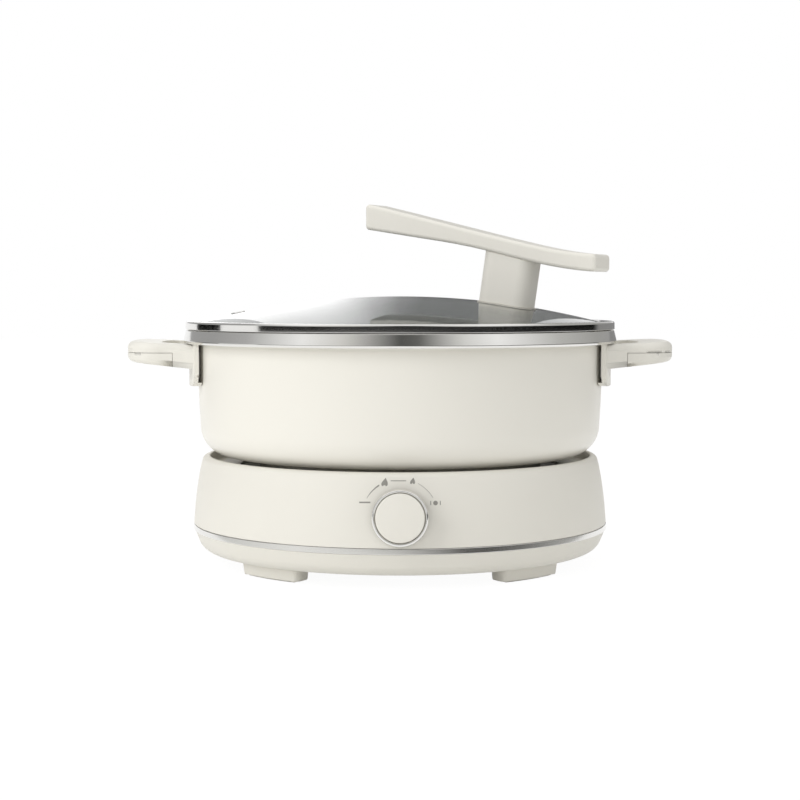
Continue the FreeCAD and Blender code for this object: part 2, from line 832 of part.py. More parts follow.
def inner_leads():
    """Insulated leads from the inlet and the control, laid on the pan's floor."""
    (left_x, leg_y), (right_x, _) = element_leg_points()
    leg_z = ELEMENT_LEG_Z - 7.0
    inlet_y = SHROUD_Y - INLET_MOUTH[2] - 9.5
    routes = {
        "lead_neutral": (
            (INLET_PIN_PITCH, inlet_y, INLET_Z - 2.0),
            (INLET_PIN_PITCH, inlet_y - 16.0, INLET_Z - 2.0),
            (right_x, leg_y + 18.0, 26.0),
            (right_x, leg_y, 24.0),
            (right_x, leg_y, leg_z),
        ),
        "lead_live": (
            (-INLET_PIN_PITCH, inlet_y, INLET_Z - 2.0),
            (-INLET_PIN_PITCH, inlet_y - 18.0, INLET_Z - 2.0),
            (-50.0, 70.0, 20.0),
            (-60.0, -60.0, 20.0),
            (-10.0, -96.0, 34.0),
            (-10.0, -106.0, 49.0),
        ),
        "lead_switched": (
            (10.0, -106.0, 49.0),
            (10.0, -94.0, 36.0),
            (58.0, -40.0, 20.0),
            (40.0, 34.0, 20.0),
            (left_x, leg_y - 14.0, 24.0),
            (left_x, leg_y, 22.0),
            (left_x, leg_y, leg_z),
        ),
    }
    parts = {}
    for name, points in routes.items():
        parts[name] = swept(round_path(points, LEAD_BEND_R), LEAD_R)
    return parts


# Pot


def pot_shell():
    """Thin vessel with a wide bottom corner, a slightly curved wall and a turned rim."""
    corner_r = POT_WAIST_R - POT_CORNER_R
    corner_z = POT_Z + POT_CORNER_R
    bend = POT_CORNER_R * math.sqrt(0.5)
    inner_r = POT_CORNER_R - POT_WALL
    inner_bend = inner_r * math.sqrt(0.5)
    floor = POT_Z + POT_FLOOR
    return turned(
        (0, POT_Z),
        (corner_r, POT_Z),
        ((corner_r + bend, corner_z - bend), (POT_WAIST_R, corner_z)),
        ((141.1, 120.0), (POT_R, POT_FLANGE_Z - 1.7)),
        (POT_R + 1.7, POT_FLANGE_Z),
        (POT_FLANGE_R, POT_FLANGE_Z),
        (POT_FLANGE_R, POT_FLANGE_Z + 2.0),
        (POT_R + 1.2, POT_FLANGE_Z + 2.0),
        (POT_R - POT_WALL, POT_FLANGE_Z - 2.0),
        (POT_WAIST_R - POT_WALL, corner_z + 0.6),
        ((corner_r + inner_bend, floor + inner_r - inner_bend), (corner_r, floor)),
        (0, floor),
    )


def pot_base():
    """Bonded contact disc, with a ring that drops round the plate and centres the pot."""
    face = PLATE_TOP_Z + PLATE_CLEARANCE
    return turned(
        (0, POT_Z),
        (BASE_RING_R, POT_Z),
        (BASE_RING_R, BASE_RING_Z + 1.0),
        (BASE_RING_R - 1.0, BASE_RING_Z),
        (BASE_RING_INNER_R + 1.0, BASE_RING_Z),
        (BASE_RING_INNER_R, BASE_RING_Z + 1.0),
        (BASE_RING_INNER_R, face),
        (0, face),
    )


def pot_rim_band():
    """Polished steel channel rolled over the pot's turned rim."""
    sheet = BAND_SHEET
    bulge_z = (BAND_Z + BAND_TOP_Z) / 2 - 0.6
    inner_r = POT_R - POT_WALL + 0.4
    return turned(
        (BAND_R - 5.8, BAND_Z),
        (BAND_R - 3.0, BAND_Z),
        ((BAND_R, bulge_z), (BAND_R - 1.7, BAND_TOP_Z)),
        (inner_r, BAND_TOP_Z),
        (inner_r, POT_FLANGE_Z + 2.4),
        (inner_r + sheet, POT_FLANGE_Z + 2.4),
        (inner_r + sheet, BAND_TOP_Z - sheet),
        (BAND_R - 2.6, BAND_TOP_Z - sheet),
        (BAND_R - 1.6, bulge_z),
        (BAND_R - 3.4, BAND_Z + sheet),
        (BAND_R - 5.8, BAND_Z + sheet),
    )


def grip_outline(outer_x, half_width, corner, start_x):
    """Plan of a grip that starts on the pot and ends in a wide rounded front."""
    bend = corner * (1 - math.sqrt(0.5))
    shoulder_x = outer_x - corner - 1.5
    return face_of(
        flat,
        (start_x, -half_width),
        (
            (shoulder_x, -half_width),
            (
                (shoulder_x + corner - bend, bend - half_width),
                (outer_x - 1.5, corner - half_width),
            ),
            ((outer_x, 0.0), (outer_x - 1.5, half_width - corner)),
            (
                (shoulder_x + corner - bend, half_width - bend),
                (shoulder_x, half_width),
            ),
            (start_x, half_width),
        ),
    )


def grip_body():
    """Loop of the +X handle: thick at the pot, thinner and rounded at its outer edge."""
    start_x = 128.0
    low_z = 130.0
    plan = grip_outline(GRIP_REACH, GRIP_HALF_WIDTH, GRIP_CORNER_R, start_x)
    column = moved(plan.extrude(Vector(0, 0, 40.0)), z=low_z)
    side = face_of(
        upright,
        (start_x, GRIP_NECK_TOP_Z - 0.8),
        (
            (GRIP_REACH, GRIP_TOP_Z),
            (GRIP_REACH, GRIP_END_Z),
            (start_x, GRIP_NECK_Z - 1.5),
        ),
    )
    slab = moved(side.extrude(Vector(0, 120.0, 0)), y=-60.0)
    loop = column.common(slab)
    loop = loop.makeFillet(GRIP_EDGE_R, [e for e in loop.Edges if is_outer_rim(e, start_x)])
    gap = grip_outline(GAP_OUTER_X, GAP_HALF_WIDTH, GAP_CORNER_R, 120.0)
    return loop.cut(moved(gap.extrude(Vector(0, 0, 60.0)), z=low_z - 10.0))


def is_outer_rim(edge, start_x):
    """True for the level edges of a grip, apart from those on its pot side."""
    return not is_steep(edge) and edge.BoundBox.XMax > start_x + 1.0


def grip_flange():
    """Curved plate of the +X handle, clear of the pot's wall down to its lower lip."""
    height = GRIP_NECK_TOP_Z - FLANGE_Z
    middle = (GRIP_NECK_TOP_Z + FLANGE_Z) / 2
    plate = tube(FLANGE_R, POT_R + BRACKET_THICK + 0.2, FLANGE_Z, GRIP_NECK_TOP_Z)
    lip = tube(FLANGE_R - 0.5, POT_R + 0.5, FLANGE_Z, FLANGE_Z + FLANGE_LIP)
    panel = block(height, 2 * FLANGE_HALF_WIDTH, 40.0, FLANGE_CORNER_R)
    panel = spun(panel, 90.0, Vector(0, 1, 0))
    panel = moved(panel, x=120.0, z=middle)
    square_top = Part.makeBox(
        40.0, 2 * FLANGE_HALF_WIDTH, height / 2, Vector(120.0, -FLANGE_HALF_WIDTH, middle)
    )
    return fused([plate, lip]).common(panel.fuse(square_top))


def handle_pieces():
    """Grip, insert, bracket and screws of the +X handle."""
    inside = tube(POT_R + BRACKET_THICK + 0.2, 0, 100.0, 170.0)
    loop = grip_body().cut(inside)
    under = Part.makeBox(60.0, 110.0, SEAM_Z - 120.0, Vector(SEAM_X, -55.0, 120.0))
    insert_zone = Part.makeBox(
        60.0, 110.0, SEAM_Z - SEAM_GAP - 120.0, Vector(SEAM_X + SEAM_GAP, -55.0, 120.0)
    )
    insert = loop.common(insert_zone)
    grip = fused([loop.cut(under), grip_flange()])
    bracket_ring = tube(POT_R + BRACKET_THICK, POT_R, FLANGE_Z + 5.0, GRIP_NECK_TOP_Z - 4.0)
    bracket = bracket_ring.common(
        Part.makeBox(
            40.0, 2 * BRACKET_HALF_WIDTH, 60.0, Vector(120.0, -BRACKET_HALF_WIDTH, 110.0)
        )
    )
    bracket = bracket.cut(pot_shell())
    fixings = []
    for side in (-1, 1):
        y = side * GRIP_SCREW_Y
        fixing = moved(screw(2.6, 1.6, 1.4, 9.0), x=GRIP_SCREW_X, y=y, z=GRIP_SCREW_Z)
        grip = grip.cut(fixing)
        insert = insert.cut(fixing)
        well = moved(prism(8, 3.0, 130.0, GRIP_SCREW_Z), x=GRIP_SCREW_X, y=y)
        insert = insert.cut(well)
        fixings.append(fixing)
    return {"grip": grip, "insert": insert, "bracket": bracket, "screws": fixings}


def side_handles():
    pieces = handle_pieces()
    parts = {}
    for hand, angle in (("right", 0.0), ("left", 180.0)):
        parts["handle_grip_" + hand] = spun(pieces["grip"], angle)
        parts["handle_insert_" + hand] = spun(pieces["insert"], angle)
        parts["handle_bracket_" + hand] = spun(pieces["bracket"], angle)
        parts["handle_screws_" + hand] = Part.makeCompound([spun(s, angle) for s in pieces["screws"]])
    return parts


# Lid


def lid_rim():
    """Steel rim: flat ledge round the glass, upright face, seat and locating skirt."""
    low = BAND_TOP_Z + LID_GAP
    sheet = LID_SHEET
    return turned(
        (LID_R, low),
        (LID_R, LID_TOP_Z),
        (LEDGE_R, LID_TOP_Z),
        (LEDGE_R, LID_TOP_Z - sheet),
        (LID_R - sheet, LID_TOP_Z - sheet),
        (LID_R - sheet, low + sheet),
        (SKIRT_R - sheet, low + sheet),
        (SKIRT_R - sheet, LID_SKIRT_Z),
        (SKIRT_R, LID_SKIRT_Z),
        (SKIRT_R, low),
    )


def glass_z(radius):
    """Height of the glass's outer face at a radius."""
    return GLASS_APEX_Z - GLASS_CROWN_R + math.sqrt(GLASS_CROWN_R**2 - radius**2)


def glass_disc():
    """Domed glass without holes."""
    inner_crown = GLASS_CROWN_R - GLASS_THICK
    edge_inner_z = GLASS_APEX_Z - GLASS_CROWN_R + math.sqrt(inner_crown**2 - GLASS_R**2)
    return turned(
        (0, GLASS_APEX_Z - GLASS_THICK),
        (0, GLASS_APEX_Z),
        ((GLASS_R / 2, glass_z(GLASS_R / 2)), (GLASS_R, glass_z(GLASS_R))),
        (GLASS_R, edge_inner_z),
        crown(GLASS_R, edge_inner_z, GLASS_APEX_Z - GLASS_THICK),
    )


def lid_glass():
    glass = glass_disc()
    glass = glass.cut(in_vent_frame(tube(VENT_STEM_R, 0, -20.0, 20.0)))
    for side in (-1, 1):
        hole = moved(tube(POST_HOLE_R, 0, -12.0, 8.0), x=side * POST_SCREW_PITCH / 2)
        glass = glass.cut(in_post_frame(hole))
    return glass


def lid_gasket():
    """Silicone that beds the glass's edge in the rim."""
    low = BAND_TOP_Z + LID_GAP + LID_SHEET
    high = LID_TOP_Z - LID_SHEET
    under_z = glass_z(GLASS_R) - GLASS_THICK
    return turned(
        (LEDGE_R - 1.0, low),
        (LID_R - LID_SHEET, low),
        (LID_R - LID_SHEET, high),
        (GLASS_R + 0.05, high),
        (GLASS_R + 0.05, under_z - 0.1),
        (LEDGE_R - 1.0, under_z + 0.2),
    )


def in_vent_frame(shape):
    """Places a shape modelled about Z on the glass, square to it, at the left."""
    tilt = math.degrees(math.asin(VENT_R / GLASS_CROWN_R))
    copy = shape.copy()
    copy.rotate(CENTRE, Vector(0, 1, 0), -tilt)
    copy.translate(Vector(-VENT_R, 0, glass_z(VENT_R)))
    return copy


def vent_grommet():
    """Steel eyelet that lets the steam out through the glass."""
    low = -GLASS_THICK
    shape = turned(
        (VENT_HOLE_R, 0.9),
        (VENT_FLANGE_R - 0.7, 0.9),
        (VENT_FLANGE_R, 0.05),
        (VENT_STEM_R, 0.05),
        (VENT_STEM_R, low - 0.05),
        (VENT_FLANGE_R, low - 0.05),
        (VENT_FLANGE_R - 0.7, low - 0.9),
        (VENT_HOLE_R, low - 0.9),
    )
    return in_vent_frame(shape)


def in_post_frame(shape):
    """Places a shape modelled about Z on the glass where the post stands, square to it."""
    tilt = math.degrees(math.asin(POST_S / GLASS_CROWN_R))
    copy = shape.copy()
    copy.rotate(CENTRE, Vector(0, 1, 0), tilt)
    copy.translate(Vector(POST_S, 0, glass_z(POST_S)))
    return on_bar_line(copy)


def on_bar_line(shape):
    return spun(shape, BAR_TURN)


def bar_line_curve(points):
    curve = Part.BSplineCurve()
    curve.interpolate([Vector(s, 0, z) for s, z in points])
    return curve.toShape()


def handle_bar():
    """Long flat bar, crowned at its high end and levelling out at its low end."""
    top = bar_line_curve(BAR_TOP)
    bottom = bar_line_curve(BAR_BOTTOM)
    ends = []
    for high, low in ((BAR_TOP[-1], BAR_BOTTOM[0]), (BAR_BOTTOM[-1], BAR_TOP[0])):
        ends.append(Part.LineSegment(upright(high), upright(low)).toShape())
    face = Part.Face(Part.Wire([top, ends[0], bottom, ends[1]]))
    solid = moved(face.extrude(Vector(0, BAR_WIDTH, 0)), y=-BAR_WIDTH / 2)
    solid = solid.makeFillet(BAR_EDGE_R, solid.Edges)
    return on_bar_line(solid)


def post_prism(grow, low, high):
    return block(
        POST_LENGTH + 2 * grow, POST_WIDTH + 2 * grow, high - low, POST_CORNER_R + grow, low
    )


def glass_ball(extra):
    """Ball whose top follows the glass's outer face, raised by a thickness."""
    return Part.makeSphere(
        GLASS_CROWN_R + extra, Vector(0, 0, GLASS_APEX_Z - GLASS_CROWN_R), AXIS, 60, 90, 360
    )


def handle_post():
    """Post with rounded corners that stands square on the glass and meets the bar."""
    post = in_post_frame(post_prism(0.0, -6.0, POST_TOP))
    post = post.cut(glass_ball(POST_SEAL)).cut(handle_bar())
    for side in (-1, 1):
        hole = moved(prism(8, POST_SCREW_R, -6.0, 18.0), x=side * POST_SCREW_PITCH / 2)
        post = post.cut(in_post_frame(hole))
    return post


def post_seal():
    """Silicone foot between the post and the glass."""
    seal = in_post_frame(post_prism(1.2, -6.0, 4.0))
    seal = seal.common(glass_ball(POST_SEAL)).cut(glass_disc())
    pieces = sorted(seal.Solids, key=lambda s: s.CenterOfMass.z)
    seal = pieces[-1]
    for side in (-1, 1):
        hole = moved(prism(8, POST_SCREW_R, -12.0, 8.0), x=side * POST_SCREW_PITCH / 2)
        seal = seal.cut(in_post_frame(hole))
    return seal


def post_washer():
    """Steel plate under the glass that spreads the screws' load."""
    plate = block(POST_LENGTH - 6.0, POST_WIDTH - 8.0, 1.5, 6.0, -GLASS_THICK - 2.3)
    for side in (-1, 1):
        hole = prism(8, POST_SCREW_R, -12.0, 8.0)
        plate = plate.cut(moved(hole, x=side * POST_SCREW_PITCH / 2))
    return in_post_frame(plate)


def post_screws():
    shapes = []
    for side in (-1, 1):
        fixing = moved(
            screw(4.2, 2.4, POST_SCREW_R, 22.0),
            x=side * POST_SCREW_PITCH / 2,
            z=-GLASS_THICK - 2.3,
        )
        shapes.append(in_post_frame(fixing))
    return Part.makeCompound(shapes)


def all_parts():
    parts = {
        "base_housing": base_housing(),
        "bottom_pan": bottom_pan(),
        "trim_ring": trim_ring(),
        "pan_screws": pan_screws(),
        "dish_screws": Part.makeCompound(dish_screw_solids()),
        "deck_dish": deck_dish(),
        "heating_plate": heating_plate(),
        "heating_element": heating_element(),
        "plate_screws": Part.makeCompound(plate_screw_solids()),
        "sensor_bridge": sensor_bridge(),
        "bridge_screws": Part.makeCompound(bridge_screw_solids()),
        "sensor_cap": sensor_cap(),
        "sensor_probe": sensor_probe(),
        "sensor_spring": sensor_spring(),
        "limit_thermostat": limit_thermostat(),
        "knob_ring": knob_ring(),
        "knob_cap": knob_cap(),
        "knob_core": knob_core(),
        "knob_shaft": knob_shaft(),
        "control_body": control_body(),
        "control_plate": control_plate(),
        "control_screws": Part.makeCompound(control_screw_solids()),
        "inlet_socket": inlet_socket(),
        "inlet_pins": inlet_pins(),
        "inlet_screws": inlet_screws(),
        "pot_shell": pot_shell(),
        "pot_base": pot_base(),
        "pot_rim_band": pot_rim_band(),
        "lid_rim": lid_rim(),
        "lid_glass": lid_glass(),
        "lid_gasket": lid_gasket(),
        "vent_grommet": vent_grommet(),
        "handle_post": handle_post(),
        "handle_bar": handle_bar(),
        "post_seal": post_seal(),
        "post_washer": post_washer(),
        "post_screws": post_screws(),
    }
    parts.update(feet())
    parts.update(inner_leads())
    parts.update(side_handles())
    return parts


def main():
    os.makedirs("parts", exist_ok=True)
    for name, shape in all_parts().items():
        shape.exportStep("parts/" + name + ".step")


main()
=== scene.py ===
"""Looks of an electric hot pot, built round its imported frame."""

import json
import math

import bmesh
import bpy
from bpy.props import FloatProperty, FloatVectorProperty, IntProperty, PointerProperty
from mathutils import Matrix, Vector
from mathutils.bvhtree import BVHTree

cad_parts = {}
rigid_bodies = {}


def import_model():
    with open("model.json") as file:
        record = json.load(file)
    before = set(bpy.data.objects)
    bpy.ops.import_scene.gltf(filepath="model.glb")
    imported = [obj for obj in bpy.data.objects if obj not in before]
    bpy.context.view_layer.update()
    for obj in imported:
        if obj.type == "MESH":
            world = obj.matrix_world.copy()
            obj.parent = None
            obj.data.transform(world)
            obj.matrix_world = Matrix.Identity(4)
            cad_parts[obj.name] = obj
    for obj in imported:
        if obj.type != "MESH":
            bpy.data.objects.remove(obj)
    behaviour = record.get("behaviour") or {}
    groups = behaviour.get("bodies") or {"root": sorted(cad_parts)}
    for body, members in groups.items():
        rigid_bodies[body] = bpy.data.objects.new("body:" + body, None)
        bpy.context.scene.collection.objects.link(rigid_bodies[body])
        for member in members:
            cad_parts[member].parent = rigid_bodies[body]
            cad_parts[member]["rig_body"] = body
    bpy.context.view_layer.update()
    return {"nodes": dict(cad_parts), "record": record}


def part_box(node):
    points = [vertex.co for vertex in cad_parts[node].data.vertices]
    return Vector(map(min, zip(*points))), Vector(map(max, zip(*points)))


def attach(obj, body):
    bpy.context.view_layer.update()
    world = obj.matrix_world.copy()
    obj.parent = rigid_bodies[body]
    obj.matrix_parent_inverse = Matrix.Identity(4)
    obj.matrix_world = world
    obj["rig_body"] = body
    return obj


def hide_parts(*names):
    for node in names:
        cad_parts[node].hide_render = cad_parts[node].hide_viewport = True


bl_info = {
    "name": "Electric hot pot",
    "version": (1, 0, 0),
    "blender": (4, 5, 0),
    "location": "View3D > Sidebar > Hot pot",
    "description": "Builds the finished pieces of an electric hot pot",
    "category": "Add Mesh",
}

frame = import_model()

MM = 0.001
FULL_TURN = 2 * math.pi
UP = Vector((0, 0, 1))
DOWN = Vector((0, 0, -1))
REARWARD = Vector((0, 1, 0))


# Sizes read from the frame, in millimetres


def low_of(node):
    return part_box(node)[0] / MM


def high_of(node):
    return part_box(node)[1] / MM


TRIM_LOW_Z = low_of("trim_ring").z
TRIM_HIGH_Z = high_of("trim_ring").z
TRIM_R = high_of("trim_ring").x
HOUSING_Z = low_of("base_housing").z
HOUSING_R = high_of("base_housing").x
LIP_Z = high_of("base_housing").z
SHROUD_Y = high_of("inlet_socket").y
DISH_TOP_Z = high_of("deck_dish").z
SENSOR_R = high_of("sensor_cap").x
SENSOR_LOW_Z = low_of("sensor_cap").z
SENSOR_TOP_Z = high_of("sensor_cap").z
KNOB_R = high_of("knob_ring").x
KNOB_FACE_R = high_of("knob_cap").x
POT_Z = low_of("pot_shell").z
POT_FLANGE_R = high_of("pot_shell").x
POT_TOP_Z = high_of("pot_shell").z
BAND_Z = low_of("pot_rim_band").z
BAND_TOP_Z = high_of("pot_rim_band").z
BAND_R = high_of("pot_rim_band").x
LID_R = high_of("lid_rim").x
LID_Z = low_of("lid_rim").z
LID_TOP_Z = high_of("lid_rim").z
GLASS_R = high_of("lid_glass").x
GLASS_TOP_Z = high_of("lid_glass").z
FOOT_TOP_Z = high_of("foot_front_left").z
FOOT_Z = low_of("foot_front_left").z


# Sizes and colours that a user would change


def linear(code):
    """Linear colour of an sRGB hex value."""
    shares = [int(code[i : i + 2], 16) / 255 for i in (0, 2, 4)]
    return [s / 12.92 if s <= 0.04045 else ((s + 0.055) / 1.055) ** 2.4 for s in shares] + [1.0]


def darker(colour, share):
    """Linear colour scaled towards black."""
    return [part * share for part in list(colour)[:3]] + [1.0]


class HotPotSizes(bpy.types.PropertyGroup):
    turn_steps: IntProperty(
        name="Turn steps",
        description="Steps round each turned piece",
        default=192,
        min=48,
        max=384,
    )
    soft_edge: FloatProperty(
        name="Soft edge",
        description="Rounding of a moulded edge",
        default=0.0006,
        min=0.0001,
        max=0.002,
        precision=5,
        unit="LENGTH",
    )
    print_height: FloatProperty(
        name="Print height",
        description="How far the dial print stands off the wall",
        default=0.00006,
        min=0.00002,
        max=0.0003,
        precision=6,
        unit="LENGTH",
    )


class HotPotColours(bpy.types.PropertyGroup):
    shell: FloatVectorProperty(
        name="Shell",
        description="Colour of the moulded parts",
        subtype="COLOR",
        size=4,
        default=linear("E9E6DD"),
    )
    coat: FloatVectorProperty(
        name="Pot coat",
        description="Colour of the pot's coating",
        subtype="COLOR",
        size=4,
        default=linear("EDEAE1"),
    )
    ink: FloatVectorProperty(
        name="Dial print",
        description="Colour of the marks round the knob",
        subtype="COLOR",
        size=4,
        default=linear("8A8882"),
    )


def sizes():
    return bpy.context.scene.hot_pot_sizes


def colours():
    return bpy.context.scene.hot_pot_colours


# Materials


def add(tree, kind, settings=None, links=None):
    """Adds a shader node of a kind, sets its sockets or properties, and links to it."""
    node = tree.nodes.new("ShaderNode" + kind)
    for key, value in (settings or {}).items():
        if isinstance(key, int) or key in node.inputs:
            node.inputs[key].default_value = value
        else:
            setattr(node, key, value)
    for key, source in (links or {}).items():
        if isinstance(source, bpy.types.Node):
            source = next(output for output in source.outputs if output.enabled)
        tree.links.new(source, node.inputs[key])
    return node


def new_material(name):
    """Empty node tree of a new material, and the object's own coordinates."""
    material = bpy.data.materials.new(name)
    material.use_nodes = True
    tree = material.node_tree
    tree.nodes.clear()
    place = add(tree, "TexCoord").outputs["Object"]
    return material, tree, place


def blend(first, second):
    """Settings of a mix between two colours."""
    return {"data_type": "RGBA", 6: first, 7: second}


def finished(name, recipe, *values):
    """Material with the surface that a recipe adds to its node tree."""
    material, tree, place = new_material(name)
    add(tree, "OutputMaterial", links={"Surface": recipe(tree, place, *values)})
    return material


def per_mm(size_mm):
    """Pattern scale at which one grain or line has this size."""
    return 1 / (size_mm * MM)


def wave_per_mm(pitch_mm):
    """Scale of a wave pattern whose lines are this far apart; a wave repeats 20 / 2 pi times a unit."""
    return per_mm(pitch_mm) * FULL_TURN / 20


def across_and_up(tree, place):
    """Coordinates that are the same all round Z: radius across, height up."""
    flat = add(tree, "VectorMath", {"operation": "MULTIPLY", 1: (1, 1, 0)}, {0: place})
    radius = add(tree, "VectorMath", {"operation": "LENGTH"}, {0: flat})
    height = add(tree, "SeparateXYZ", links={0: place}).outputs["Z"]
    return add(tree, "CombineXYZ", links={"X": radius.outputs["Value"], "Y": height})


def moulded_polypropylene(tree, place, colour, roughness):
    """Injection-moulded polypropylene: satin, even, with the fine grain of an eroded mould."""
    # The real grain is about 0.1 mm; it is drawn at 0.45 mm so that it shows
    grain = add(tree, "TexNoise", {"Scale": per_mm(0.45), "Detail": 2.0}, {"Vector": place})
    flow = add(tree, "TexNoise", {"Scale": per_mm(45), "Detail": 2.0}, {"Vector": place})
    tint = add(tree, "Mix", blend(colour, darker(colour, 0.97)), {0: flow})
    gloss = add(tree, "MapRange", {"To Min": roughness - 0.05, "To Max": roughness + 0.05}, {"Value": flow})
    relief = add(tree, "Bump", {"Strength": 0.3, "Distance": 0.015 * MM}, {"Height": grain})
    return add(
        tree,
        "BsdfPrincipled",
        {"IOR": 1.49},
        {"Base Color": tint, "Roughness": gloss, "Normal": relief},
    )


def sprayed_ceramic(tree, place, colour):
    """Sol-gel ceramic sprayed on aluminium: a soft gloss, a faint orange peel and fine specks."""
    peel = add(tree, "TexNoise", {"Scale": per_mm(1.8), "Detail": 1.0}, {"Vector": place})
    cloud = add(tree, "TexNoise", {"Scale": per_mm(60), "Detail": 2.0}, {"Vector": place})
    pigment = add(tree, "TexNoise", {"Scale": per_mm(0.8), "Detail": 1.0}, {"Vector": place})
    speck = add(tree, "MapRange", {"From Min": 0.7, "From Max": 0.8, "To Max": 0.22}, {"Value": pigment})
    tint = add(tree, "Mix", blend(colour, darker(colour, 0.82)), {0: speck})
    gloss = add(tree, "MapRange", {"To Min": 0.3, "To Max": 0.38}, {"Value": cloud})
    relief = add(tree, "Bump", {"Strength": 0.25, "Distance": 0.02 * MM}, {"Height": peel})
    return add(
        tree,
        "BsdfPrincipled",
        {"IOR": 1.5, "Coat Weight": 0.15, "Coat Roughness": 0.2},
        {"Base Color": tint, "Roughness": gloss, "Normal": relief},
    )


def polished_steel(tree, place, code, roughness):
    """Stainless steel polished while it spins: mirror-like, with hairlines round its axis."""
    # Real hairlines are finer than 0.05 mm; they are drawn at 0.3 mm so that they show
    lines = add(
        tree,
        "TexNoise",
        {"Scale": per_mm(0.3), "Detail": 3.0},
        {"Vector": across_and_up(tree, place)},
    )
    gloss = add(tree, "MapRange", {"To Min": roughness * 0.7, "To Max": roughness * 1.4}, {"Value": lines})
    relief = add(tree, "Bump", {"Strength": 0.3, "Distance": 0.003 * MM}, {"Height": lines})
    return add(
        tree,
        "BsdfPrincipled",
        {"Base Color": linear(code), "Metallic": 1.0},
        {"Roughness": gloss, "Normal": relief},
    )


def pressed_steel(tree, place, code, roughness):
    """Rolled sheet after pressing: straight mill grain, soft scuffs and a dull shine."""
    drawn_out = add(tree, "Mapping", {"Scale": (0.06, 1.0, 1.0)}, {"Vector": place})
    grain = add(tree, "TexNoise", {"Scale": per_mm(0.4), "Detail": 4.0}, {"Vector": drawn_out})
    scuffs = add(
        tree,
        "TexNoise",
        {"Scale": per_mm(18), "Detail": 5.0, "Roughness": 0.6},
        {"Vector": place},
    )
    tint = add(tree, "Mix", blend(linear(code), darker(linear(code), 0.8)), {0: scuffs})
    gloss = add(
        tree,
        "MapRange",
        {"To Min": roughness - 0.07, "To Max": roughness + 0.09},
        {"Value": grain},
    )
    relief = add(tree, "Bump", {"Strength": 0.4, "Distance": 0.01 * MM}, {"Height": grain})
    return add(
        tree,
        "BsdfPrincipled",
        {"Metallic": 1.0},
        {"Base Color": tint, "Roughness": gloss, "Normal": relief},
    )


def faced_aluminium(tree, place, code, roughness, pitch_mm):
    """Cast aluminium faced on a lathe: concentric tool lines, small pores and a grey cast skin."""
    tool = add(
        tree,
        "TexWave",
        {"wave_type": "BANDS", "bands_direction": "X", "Scale": wave_per_mm(pitch_mm)},
        {"Vector": across_and_up(tree, place)},
    ).outputs["Fac"]
    cloud = add(tree, "TexNoise", {"Scale": per_mm(14), "Detail": 5.0, "Roughness": 0.6}, {"Vector": place})
    pores = add(tree, "TexNoise", {"Scale": per_mm(0.9), "Detail": 4.0}, {"Vector": place})
    uneven = add(tree, "Math", {"operation": "MULTIPLY"}, {0: tool, 1: pores})
    tint = add(tree, "Mix", blend(linear(code), darker(linear(code), 0.72)), {0: cloud})
    gloss = add(tree, "MapRange", {"To Min": roughness - 0.05, "To Max": roughness + 0.1}, {"Value": cloud})
    relief = add(tree, "Bump", {"Strength": 0.5, "Distance": 0.05 * MM}, {"Height": uneven})
    return add(
        tree,
        "BsdfPrincipled",
        {"Metallic": 1.0},
        {"Base Color": tint, "Roughness": gloss, "Normal": relief},
    )


def oxidised_sheath(tree, place):
    """Nickel-chrome heater sheath after firing: dull and dark, with straw and blue patches."""
    patches = add(
        tree,
        "TexNoise",
        {"Scale": per_mm(9), "Detail": 4.0, "Roughness": 0.6},
        {"Vector": place},
    )
    fine = add(tree, "TexNoise", {"Scale": per_mm(0.8), "Detail": 3.0}, {"Vector": place})
    tint = add(tree, "Mix", blend(linear("6E675C"), linear("4C4B50")), {0: patches})
    gloss = add(tree, "MapRange", {"To Min": 0.42, "To Max": 0.62}, {"Value": fine})
    relief = add(tree, "Bump", {"Strength": 0.4, "Distance": 0.03 * MM}, {"Height": fine})
    return add(
        tree,
        "BsdfPrincipled",
        {"Metallic": 1.0},
        {"Base Color": tint, "Roughness": gloss, "Normal": relief},
    )


def tempered_glass(tree, place, code):
    """Tempered soda-lime glass, smoke grey in the mass, with the slow waves of the quench."""
    waves = add(tree, "TexNoise", {"Scale": per_mm(40), "Detail": 1.0}, {"Vector": place})
    relief = add(tree, "Bump", {"Strength": 0.15, "Distance": 0.02 * MM}, {"Height": waves})
    return add(
        tree,
        "BsdfPrincipled",
        {"Base Color": linear(code), "Roughness": 0.02, "IOR": 1.52, "Transmission Weight": 1.0},
        {"Normal": relief},
    )


def cast_silicone(tree, place, code):
    """Cast silicone rubber: matt and soft to look at, with a little dust in its skin."""
    dust = add(tree, "TexNoise", {"Scale": per_mm(1.2), "Detail": 4.0, "Roughness": 0.6}, {"Vector": place})
    tint = add(tree, "Mix", blend(linear(code), darker(linear(code), 0.86)), {0: dust})
    gloss = add(tree, "MapRange", {"To Min": 0.55, "To Max": 0.72}, {"Value": dust})
    relief = add(tree, "Bump", {"Strength": 0.4, "Distance": 0.02 * MM}, {"Height": dust})
    return add(
        tree,
        "BsdfPrincipled",
        {"IOR": 1.41, "Sheen Weight": 0.1, "Sheen Roughness": 0.5},
        {"Base Color": tint, "Roughness": gloss, "Normal": relief},
    )


